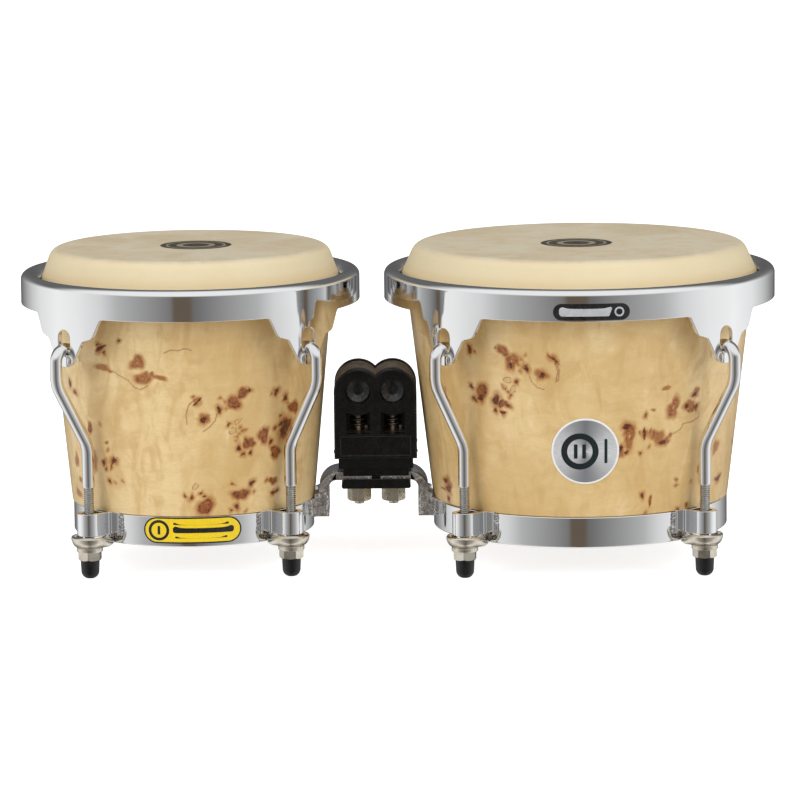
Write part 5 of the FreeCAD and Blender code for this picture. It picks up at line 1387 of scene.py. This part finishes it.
for d in DRUMS:
    dress(d + "_flesh_hoop", M["dark"], 0)
    dress(d + "_arm", M["arm"], 0.22, 30.0, hard=True)
dress("block_front_cover", M["black"], 0.45)
dress("block_rear_cover", M["black"], 0.45)
dress("block_core", M["core"], 0.25)
dress("block_upper_pad", M["pad"], 0.35)
dress("block_clamp_plate", M["steel"], 0.35)
for word in ("left", "right"):
    dress("block_barrel_" + word, M["dark"], 0.5)
    dress("block_spring_" + word, M["spring"], 0)


def y_lathe(xy, nn, n, x, z, sgn):
    """A turned piece round an axis along y; the profile is (radius, depth), depth growing towards the viewer."""
    s = lathe(xy, nn, n)
    V, N = s.arrays()
    V2 = np.column_stack([V[:, 0] + x, -sgn * V[:, 2], V[:, 1] + z])
    N2 = np.column_stack([N[:, 0], -sgn * N[:, 2], N[:, 1]])
    out = Shape()
    out.add(V2, N2, *s.F)
    return out


# raised rings round the sockets, and dished barrel ends
rings, ends = Shape(), Shape()
for sgn in (1, -1):
    for k in (-1, 1):
        x = BLOCK_X + LOBE_DX * k
        xy, nn = prof([(7.75, 21.5, 0.2), (9.3, 21.5, 0.2), (9.3, 23.0 - 0.02, 0.55), (7.75, 23.0 - 0.02, 0.55)], turn=15)
        rings.merge(y_lathe(xy, nn, 96, x, LOBE_Z, sgn))
        xy, nn = prof([(0.001, 14.05), (3.0, 14.05, 0.4), (6.9, 15.6, 0.5), (7.5, 15.5, 0.3), (7.5, 13.9, 0.2), (0.001, 13.9)], closed=False, turn=12)
        e = lathe(xy, nn, 72, closed=False)
        V, N = e.arrays()
        ends.add(np.column_stack([V[:, 0] + x, -sgn * V[:, 2], V[:, 1] + LOBE_Z]), np.column_stack([N[:, 0], -sgn * N[:, 2], N[:, 1]]), *e.F)
o = make("block_socket_rings", rings, M["black"])
place(o, "frame", "black_plastic")
o = make("block_barrel_dishes", ends, M["dark"])
place(o, "frame", "dark_alloy")

# dark plates close the windows behind the springs
V, Q = [], []
for k in (-1, 1):
    base = len(V)
    u = np.linspace(-7.3, 7.3, 17)
    for y in (5.6, 6.0):
        for x in u:
            V.append((BLOCK_X + LOBE_DX * k + x, y, 80.62))
        for x in u:
            V.append((BLOCK_X + LOBE_DX * k + x, y, LOBE_Z - math.sqrt(14.06 ** 2 - x * x)))
    m = len(u)
    for i in range(m - 1):
        Q.append((base + i, base + i + 1, base + m + i + 1, base + m + i))
        Q.append((base + 2 * m + i, base + 3 * m + i, base + 3 * m + i + 1, base + 2 * m + i + 1))
        Q.append((base + i, base + 2 * m + i, base + 2 * m + i + 1, base + i + 1))
        Q.append((base + m + i, base + m + i + 1, base + 3 * m + i + 1, base + 3 * m + i))
    Q.append((base, base + m, base + 3 * m, base + 2 * m))
    Q.append((base + m - 1, base + 3 * m - 1, base + 4 * m - 1, base + 2 * m - 1))
o = plain("block_window_backs", np.array(V), Q, M["black"], 30)
place(o, "frame", "black_plastic")

# small moulded nubs low on the cover sides
nubs = Shape()
for sgn in (1, -1):
    for k in (-1, 1):
        x = BLOCK_X + k * (LOBE_DX + 14.8)
        P = np.array([[x - k * 0.6, -sgn * (22.4 - t), 69.6] for t in np.linspace(0, 5.0, 8)])
        nubs.merge(tube(P, 1.0, 12, cap=(0.8, 0.8)))
o = make("block_side_nubs", nubs, M["black"])
place(o, "frame", "black_plastic")

# clamp bolts, nuts and serrated washers
for k, word in ((-1, "left"), (1, "right")):
    x = BLOCK_X + LOBE_DX * k
    t = thread(33.8, 66.0, 3.2)
    rod = lathe(*prof([(0.001, 65.8), (3.2, 65.8, 0.2), (3.2, 112.0, 0.6), (0.001, 112.0)], closed=False), 40, closed=False)
    s = Shape().merge(t, x=x).merge(rod, x=x)
    o = make("clamp_bolt_thread_" + word, s, M["nickel2"])
    place(o, "frame", "nickel", "clamp_bolt_" + word)
    V, Q = hex_nut(35.8, 44.3, 13.0, 3.2, 24.0 + 30)
    Q = oriented(V, Q)
    o = plain("clamp_nut_hex_" + word, V + np.array([x, 0, 0]), Q, M["nickel2"], 28)
    place(o, "frame", "nickel", "clamp_nut_" + word)
    n = 240
    a = np.arange(n) * 2 * math.pi / n
    g = np.random.default_rng(51 + k)
    tooth = 0.42 * np.abs(((a * 22 / (2 * math.pi)) % 1.0) * 2 - 1) + g.normal(0, 0.05, n)
    rows = []
    for r, z, cut in ((3.6, 44.3, 0), (6.6, 44.3, 0), (7.35, 44.35, 1), (7.6, 44.6, 1), (7.6, 45.8, 0.4), (7.35, 46.05, 0), (3.6, 46.1, 0)):
        rr = r - tooth * cut
        rows.append(np.stack([rr * np.cos(a), rr * np.sin(a), np.full(n, z)], -1))
    V = np.concatenate(rows)
    I, J = np.meshgrid(np.arange(len(rows)), np.arange(n), indexing="ij")
    I2, J2 = (I + 1) % len(rows), (J + 1) % n
    Q = np.stack([I * n + J, I * n + J2, I2 * n + J2, I2 * n + J], -1).reshape(-1, 4)
    Q = oriented(V, Q)
    o = plain("clamp_washer_serrated_" + word, V + np.array([x, 0, 0]), Q, M["nickel"], 40)
    place(o, "frame", "nickel", "clamp_washer_" + word)

# weld seams where the arms meet the rings
for d, c in DRUMS.items():
    sg = c["side"]
    g = np.random.default_rng(61 if d == "macho" else 62)
    s = Shape()
    for ky in (-1, 1):
        yy = ky * 17.6
        z = np.arange(29.6, 39.0, 0.42)
        xx = c["x"] + sg * math.sqrt((c["ring"] + 0.5) ** 2 - yy ** 2)
        P = np.column_stack([xx + g.normal(0, 0.12, len(z)), yy + g.normal(0, 0.15, len(z)), z])
        s.merge(tube(P, lambda m, n, g=g: 1.25 + 0.2 * np.sin(np.arange(m) * 1.3)[:, None] + g.normal(0, 0.08, (m, n)), 12, cap=(0.8, 0.8)))
        z = np.arange(30.2, 42.5, 0.42)
        P = np.column_stack([c["x"] + sg * (c["ring"] + 7.6) + g.normal(0, 0.25, len(z)), ky * 16.7 + g.normal(0, 0.12, len(z)), z])
        s.merge(tube(P, lambda m, n, g=g: 1.5 + 0.3 * np.sin(np.arange(m) * 1.3)[:, None] + g.normal(0, 0.14, (m, n)), 12, cap=(0.8, 0.8)))
    yy = np.arange(-15.5, 15.6, 0.6)
    P = np.column_stack([c["x"] + sg * (np.sqrt(c["ring"] ** 2 - yy ** 2) + 2.2) + g.normal(0, 0.2, len(yy)), yy, 29.2 + g.normal(0, 0.18, len(yy))])
    s.merge(tube(P, lambda m, n, g=g: 1.0 + g.normal(0, 0.12, (m, n)), 12, cap=(0.8, 0.8)))
    o = make(d + "_arm_welds", s, M["weld"])
    place(o, "frame", "chrome")


# ---- trim -----------------------------------------------------------------------------------------------------
def flat_piece(name, xc, x0, zc, radius_at, lift, wall, outline, material, body, slot, nodes=(), step=1.6, slope=0.0, bevel=None):
    """A thin curved piece: outline about (x0, zc) seen from the front, lifted off the drum's surface."""
    pts, nrm = outline
    b = min(wall * 0.6, 0.3) if bevel is None else bevel

    def to3(p, up):
        X, Z = p[:, 0] + x0, p[:, 1] + zc
        r = radius_at(Z) + up
        Y = -np.sqrt(np.maximum(r * r - X * X, 1e-6))
        V = np.column_stack([X + xc, Y, Z])
        N = np.column_stack([X, Y, -slope * r])
        return V, N / np.linalg.norm(N, axis=1, keepdims=True)

    inner = pts - nrm * b
    lo, hi = inner.min(0), inner.max(0)
    gx, gz = np.meshgrid(np.arange(lo[0], hi[0], step), np.arange(lo[1], hi[1], step))
    gx = gx + (np.arange(gx.shape[0]) % 2)[:, None] * step / 2
    P, T = fill(inner, [], np.column_stack([gx.ravel(), gz.ravel()]))
    s = Shape()
    V, N = to3(P, lift + wall)
    s.add(V, N, T)
    V, N = to3(P, lift)
    s.add(V, -N, T)
    rows, norms = [], []
    for k in range(5):
        t = math.pi / 2 * k / 4
        V, N = to3(inner + nrm * b * math.sin(t), lift + wall - b * 0.8 * (1 - math.cos(t)))
        side = np.column_stack([nrm[:, 0], 0 * nrm[:, 0], nrm[:, 1]])
        rows.append(V)
        norms.append(side * math.sin(t) + N * math.cos(t))
    V, N = to3(inner, lift)
    rows.append(to3(pts, lift)[0])
    norms.append(np.column_stack([nrm[:, 0], 0 * nrm[:, 0], nrm[:, 1]]))
    rows.append(V)
    norms.append(-N)
    m = len(pts)
    I, J = np.meshgrid(np.arange(len(rows) - 1), np.arange(m), indexing="ij")
    J2 = (J + 1) % m
    Q = np.stack([I * m + J, I * m + J2, (I + 1) * m + J2, (I + 1) * m + J], -1).reshape(-1, 4)
    s.add(np.concatenate(rows), np.concatenate(norms), Q)
    o = make(name, s, material, weld=True)
    return place(o, body, slot, *nodes)


def disc(r, n=96):
    a = np.arange(n) * 2 * math.pi / n
    d = np.column_stack([np.cos(a), np.sin(a)])
    return d * r, d


def pill(half, high):
    xy, nn = prof([(-half, -high, high * 0.999), (half, -high, high * 0.999), (half, high, high * 0.999), (-half, high, high * 0.999)], turn=8)
    xy, nn = spread(np.vstack([xy, xy[:1]]), np.vstack([nn, nn[:1]]), 2.0)
    return xy[:-1], nn[:-1]


H = DRUMS["hembra"]
SL = (H["hi"] - H["lo"]) / 148.3


def cone(z):
    return H["lo"] + SL * (z - 39.7)


# badge: brushed disc with painted reflection sectors, in a pale raised border, with plain generic arches in dark ink
flat_piece("badge_rim_ring", H["x"], -0.3, 80.6, cone, 0.02, 0.62, disc(20.3), M["border"], "frame", "badge_metal", ("hembra_badge",), slope=SL)
flat_piece("badge_face", H["x"], -0.3, 80.6, cone, 0.5, 0.2, disc(19.2), M["badge"], "frame", "badge_metal", slope=SL)


def ink_patch(name, xc, x0, zc, radius_at, up, polys, material, slope, body, slot):
    """A thin printed film of one or more outlines (outer, holes)."""
    s = Shape()
    for outer, holes in polys:
        outer = np.asarray(outer, float)
        lo, hi = outer.min(0), outer.max(0)
        gx, gz = np.meshgrid(np.arange(lo[0], hi[0], 1.5), np.arange(lo[1], hi[1], 1.5))
        P, T = fill(outer, [np.asarray(h, float) for h in holes], np.column_stack([gx.ravel(), gz.ravel()]))
        X, Z = P[:, 0] + x0, P[:, 1] + zc
        for off, sign in ((up, 1), (up - 0.03, -1)):
            r = radius_at(Z) + off
            Y = -np.sqrt(r * r - X * X)
            V = np.column_stack([X + xc, Y, Z])
            N = np.column_stack([X, Y, -slope * r])
            s.add(V, sign * N / np.linalg.norm(N, axis=1, keepdims=True), T)
        for loop_ in [outer] + [np.asarray(h, float) for h in holes]:
            X, Z = loop_[:, 0] + x0, loop_[:, 1] + zc
            rows = []
            for off in (up, up - 0.03):
                r = radius_at(Z) + off
                rows.append(np.column_stack([X + xc, -np.sqrt(r * r - X * X), Z]))
            m = len(loop_)
            J = np.arange(m)
            c0 = loop_.mean(0)
            dn = loop_ - c0
            if loop_ is not outer:
                dn = -dn
            dn = dn / np.maximum(np.linalg.norm(dn, axis=1, keepdims=True), 1e-6)
            N = np.column_stack([dn[:, 0], 0 * dn[:, 0], dn[:, 1]])
            s.add(np.concatenate(rows), np.concatenate([N, N]), np.stack([J, (J + 1) % m, m + (J + 1) % m, m + J], -1))
    o = make(name, s, material, weld=True)
    return place(o, body, slot)


# a generic drum mark: a thick ring crossed by two plain bars
RING_OUT, _ = disc(11.2, 96)
RING_IN, _ = disc(7.6, 96)
BAR1 = prof([(-3.6, -4.4, 0.5), (-1.4, -4.4, 0.5), (-1.4, 4.4, 0.5), (-3.6, 4.4, 0.5)])[0]
BAR2 = prof([(1.4, -4.4, 0.5), (3.6, -4.4, 0.5), (3.6, 4.4, 0.5), (1.4, 4.4, 0.5)])[0]
ink_patch("badge_print", H["x"], -3.6, 80.6, cone, 0.74, [(RING_OUT, [RING_IN]), (BAR1, []), (BAR2, [])], M["ink"], SL, "frame", "badge_metal")
BAR3 = prof([(-0.9, -7.5, 0.6), (0.9, -7.5, 0.6), (0.9, 7.5, 0.6), (-0.9, 7.5, 0.6)])[0]
ink_patch("badge_side_bar", H["x"], 12.0, 80.6, cone, 0.74, [(BAR3, [])], M["ink"], SL, "frame", "badge_metal")


def rim_r(z):
    return H["rim"] + 0 * z


flat_piece("rim_label_film", H["x"], 2.8, 167.9, rim_r, 0.02, 0.16, pill(22.8, 5.0), M["label_black"], "hembra_tension_hardware", "label_film", ("hembra_rim_label",))
L_IN = prof([(-19.2, -2.6, 2.0), (10.4, -2.6, 1.0), (12.6, 2.9, 1.0), (-19.2, 2.9, 2.0)], turn=15)[0]
ink_patch("rim_label_panel", H["x"], 2.8, 167.9, rim_r, 0.20, [(L_IN, [])], M["label_silver"], 0.0, "hembra_tension_hardware", "label_film")
C_OUT, _ = disc(2.9, 48)
C_IN, _ = disc(1.9, 48)
ink_patch("rim_label_mark", H["x"], 19.3, 167.9, rim_r, 0.20, [(C_OUT, [C_IN])], M["label_silver"], 0.0, "hembra_tension_hardware", "label_film")

Mc = DRUMS["macho"]


def ring_r(z):
    return Mc["ring"] + 0 * z


flat_piece("ring_label_film", Mc["x"], 1.8, 31.0, ring_r, 0.02, 0.15, pill(29.5, 8.0), M["label_black"], "frame", "label_film", ("macho_ring_label",))
Y_PILL = pill(28.6, 7.1)[0]
ink_patch("ring_label_yellow", Mc["x"], 1.8, 31.0, ring_r, 0.19, [(Y_PILL, [])], M["yellow"], 0.0, "frame", "label_film")
K_OUT, _ = disc(6.3, 64)
K_IN, _ = disc(4.6, 64)
KB = prof([(-0.8, -2.6, 0.3), (0.8, -2.6, 0.3), (0.8, 2.6, 0.3), (-0.8, 2.6, 0.3)])[0]
ink_patch("ring_label_mark", Mc["x"], 1.8 - 20.3, 31.0, ring_r, 0.22, [(K_OUT, [K_IN]), (KB, [])], M["label_black"], 0.0, "frame", "label_film")
bars = []
for z0, h, x1, x2 in ((4.1, 0.7, -11.5, 22.0), (0.4, 2.0, -11.8, 25.0), (-4.2, 0.6, -10.5, 21.0)):
    bars.append((prof([(x1, z0 - h, h * 0.8), (x2, z0 - h, h * 0.8), (x2, z0 + h, h * 0.8), (x1, z0 + h, h * 0.8)])[0], []))
ink_patch("ring_label_bars", Mc["x"], 1.8, 31.0, ring_r, 0.22, bars, M["label_black"], 0.0, "frame", "label_film")

# ---- the hides: each one's length over the top and round the hoop is worked out, and its transform is baked into its mesh ---
for d, c in DRUMS.items():
    o = HEADS[d]
    # across the top, over the shoulder, down the collar and three quarters round the hoop
    lean = math.atan2(c["ls"], c["lc"])
    collar = math.hypot(c["collar"] - c["bear"] - 8 * c["lc"], 177.8 - 187.7 - 8 * c["ls"])
    cut = 2 * (c["bear"] + 8.0 * (math.pi / 2 - lean) + collar + 8.2 + 18.1) * 0.001
    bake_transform(o)

# ---- floor, light and camera ----------------------------------------------------------------------------------
S = 0.001
floor_me = bpy.data.meshes.new("floor")
F = 6.0
floor_me.from_pydata([(-F, -F, 0), (F, -F, 0), (F, F, 0), (-F, F, 0)], [], [(0, 1, 2, 3)])
floor = bpy.data.objects.new("floor", floor_me)
bpy.context.scene.collection.objects.link(floor)
L = Look("floor_white")
seen = L.t.nodes.new("ShaderNodeLightPath").outputs["Is Camera Ray"]
L.set(Base_Color=L.mix(L.noise(3, 2), (0.80, 0.80, 0.80, 1), (0.78, 0.78, 0.78, 1)), Roughness=0.9, Specular_IOR_Level=0.1,
      Emission_Color=(1, 1, 1, 1), Emission_Strength=L.span(seen, 0, 1, 0.12, 0.82, smooth=False))
floor_me.materials.append(L.m)
floor.visible_glossy = False

world = bpy.data.worlds.new("studio")
bpy.context.scene.world = world
world.use_nodes = True
wt = world.node_tree
wt.nodes.clear()
wo = wt.nodes.new("ShaderNodeOutputWorld")
bg = wt.nodes.new("ShaderNodeBackground")
tc = wt.nodes.new("ShaderNodeTexCoord")
sep = wt.nodes.new("ShaderNodeSeparateXYZ")
wt.links.new(tc.outputs["Generated"], sep.inputs[0])


def wmath(op, a, b=0.0):
    n = wt.nodes.new("ShaderNodeMath")
    n.operation = op
    for i, v in enumerate((a, b)):
        if isinstance(v, bpy.types.NodeSocket):
            wt.links.new(v, n.inputs[i])
        else:
            n.inputs[i].default_value = v
    return n.outputs[0]


# below the horizon the studio is seen only in the chrome: a narrow dark gap in front, grey beside it, white to the sides
az = wmath("ARCTAN2", sep.outputs[0], wmath("MULTIPLY", sep.outputs[1], -1.0))
azd = wmath("MULTIPLY", az, 180 / math.pi)
pos = wmath("DIVIDE", wmath("ADD", azd, 180.0), 360.0)
ramp = wt.nodes.new("ShaderNodeValToRGB")
wt.links.new(pos, ramp.inputs[0])
SIDE = [(8, 0.17), (18, 0.24), (36, 0.36), (48, 0.45), (61, 0.68), (80, 0.85), (100, 0.93), (120, 0.80), (135, 0.57), (150, 0.30), (165, 0.12)]
WARM = (0.13, 0.10, 0.075)
STOPS = [(-180, (0.10, 0.10, 0.10))] + [(-a, (g, g, g)) for a, g in reversed(SIDE[1:])]
STOPS += [(-11, (0.19, 0.185, 0.18)), (-9, WARM), (2, WARM), (4, (0.155, 0.15, 0.145))]
STOPS += [(a, (g, g, g)) for a, g in SIDE] + [(180, (0.10, 0.10, 0.10))]
e = ramp.color_ramp.elements
while len(e) > 1:
    e.remove(e[-1])
for i, (deg, col) in enumerate(STOPS):
    p = (deg + 180) / 360
    x = e[0] if i == 0 else e.new(p)
    x.position = p
    x.color = (*col, 1)


def wspan(v, lo, hi, a=0.0, b=1.0):
    n = wt.nodes.new("ShaderNodeMapRange")
    n.interpolation_type = "SMOOTHSTEP"
    wt.links.new(v, n.inputs["Value"])
    for k, x in (("From Min", lo), ("From Max", hi), ("To Min", a), ("To Max", b)):
        n.inputs[k].default_value = x
    return n.outputs["Result"]


def wmix(fac, a, b):
    n = wt.nodes.new("ShaderNodeMix")
    n.data_type = "RGBA"
    for i, v in ((0, fac), (6, a), (7, b)):
        if isinstance(v, bpy.types.NodeSocket):
            wt.links.new(v, n.inputs[i])
        else:
            n.inputs[i].default_value = v
    return n.outputs[2]


# overhead the studio is bright in front and falls away behind; the backdrop itself is plain white
sky = wspan(sep.outputs[1], -0.15, 0.42, 0.86, 0.13)
dome = wt.nodes.new("ShaderNodeCombineColor")
for i in range(3):
    wt.links.new(sky, dome.inputs[i])
studio = wmix(wspan(sep.outputs[2], 0.04, 0.42), ramp.outputs["Color"], dome.outputs[0])
seen = wt.nodes.new("ShaderNodeLightPath").outputs["Is Camera Ray"]
wt.links.new(wmix(seen, studio, (1.0, 1.0, 1.0, 1.0)), bg.inputs["Color"])
bg.inputs["Strength"].default_value = 1.0
wt.links.new(bg.outputs[0], wo.inputs["Surface"])


def area(name, loc, at, size, power, color=(1, 1, 1)):
    li = bpy.data.lights.new(name, "AREA")
    li.shape = "RECTANGLE"
    li.size, li.size_y = size
    li.energy = power
    li.color = color
    o = bpy.data.objects.new(name, li)
    bpy.context.scene.collection.objects.link(o)
    o.location = loc
    o.rotation_euler = (Vector(at) - Vector(loc)).to_track_quat("-Z", "Y").to_euler()
    o.visible_glossy = False
    return o


area("softbox_left", (-1.9, -1.4, 1.1), (0, 0, 0.1), (1.4, 1.6), 17)
area("softbox_right", (1.9, -1.4, 1.1), (0, 0, 0.1), (1.4, 1.6), 17)
area("softbox_top", (0.0, -0.5, 2.0), (0, 0, 0.1), (1.6, 1.2), 7)

FPX, DIST, ELEV, ROLL = 4860.0, 3000.0, math.radians(8.8), math.radians(0.6)
target = Vector((0.6, 0.0, 98.0))
back = Vector((0, -math.cos(ELEV), math.sin(ELEV)))
right = Vector((1, 0, 0))
upv = right.cross(-back)
xr = right * math.cos(ROLL) - upv * math.sin(ROLL)
yr = right * math.sin(ROLL) + upv * math.cos(ROLL)
cam_data = bpy.data.cameras.new("camera")
cam_data.sensor_width = 36.0
cam_data.lens = FPX * 36.0 / 800.0
cam_data.clip_start, cam_data.clip_end = 0.05, 50.0
cam = bpy.data.objects.new("camera", cam_data)
bpy.context.scene.collection.objects.link(cam)
cam.matrix_world = Matrix((
    (xr.x, yr.x, back.x, (target.x + back.x * DIST) * S),
    (xr.y, yr.y, back.y, (target.y + back.y * DIST) * S),
    (xr.z, yr.z, back.z, (target.z + back.z * DIST) * S),
    (0, 0, 0, 1),
))
bpy.context.scene.camera = cam
vs = bpy.context.scene.view_settings
vs.view_transform = "Standard"
vs.look = "None"
bpy.context.scene.cycles.use_denoising = True
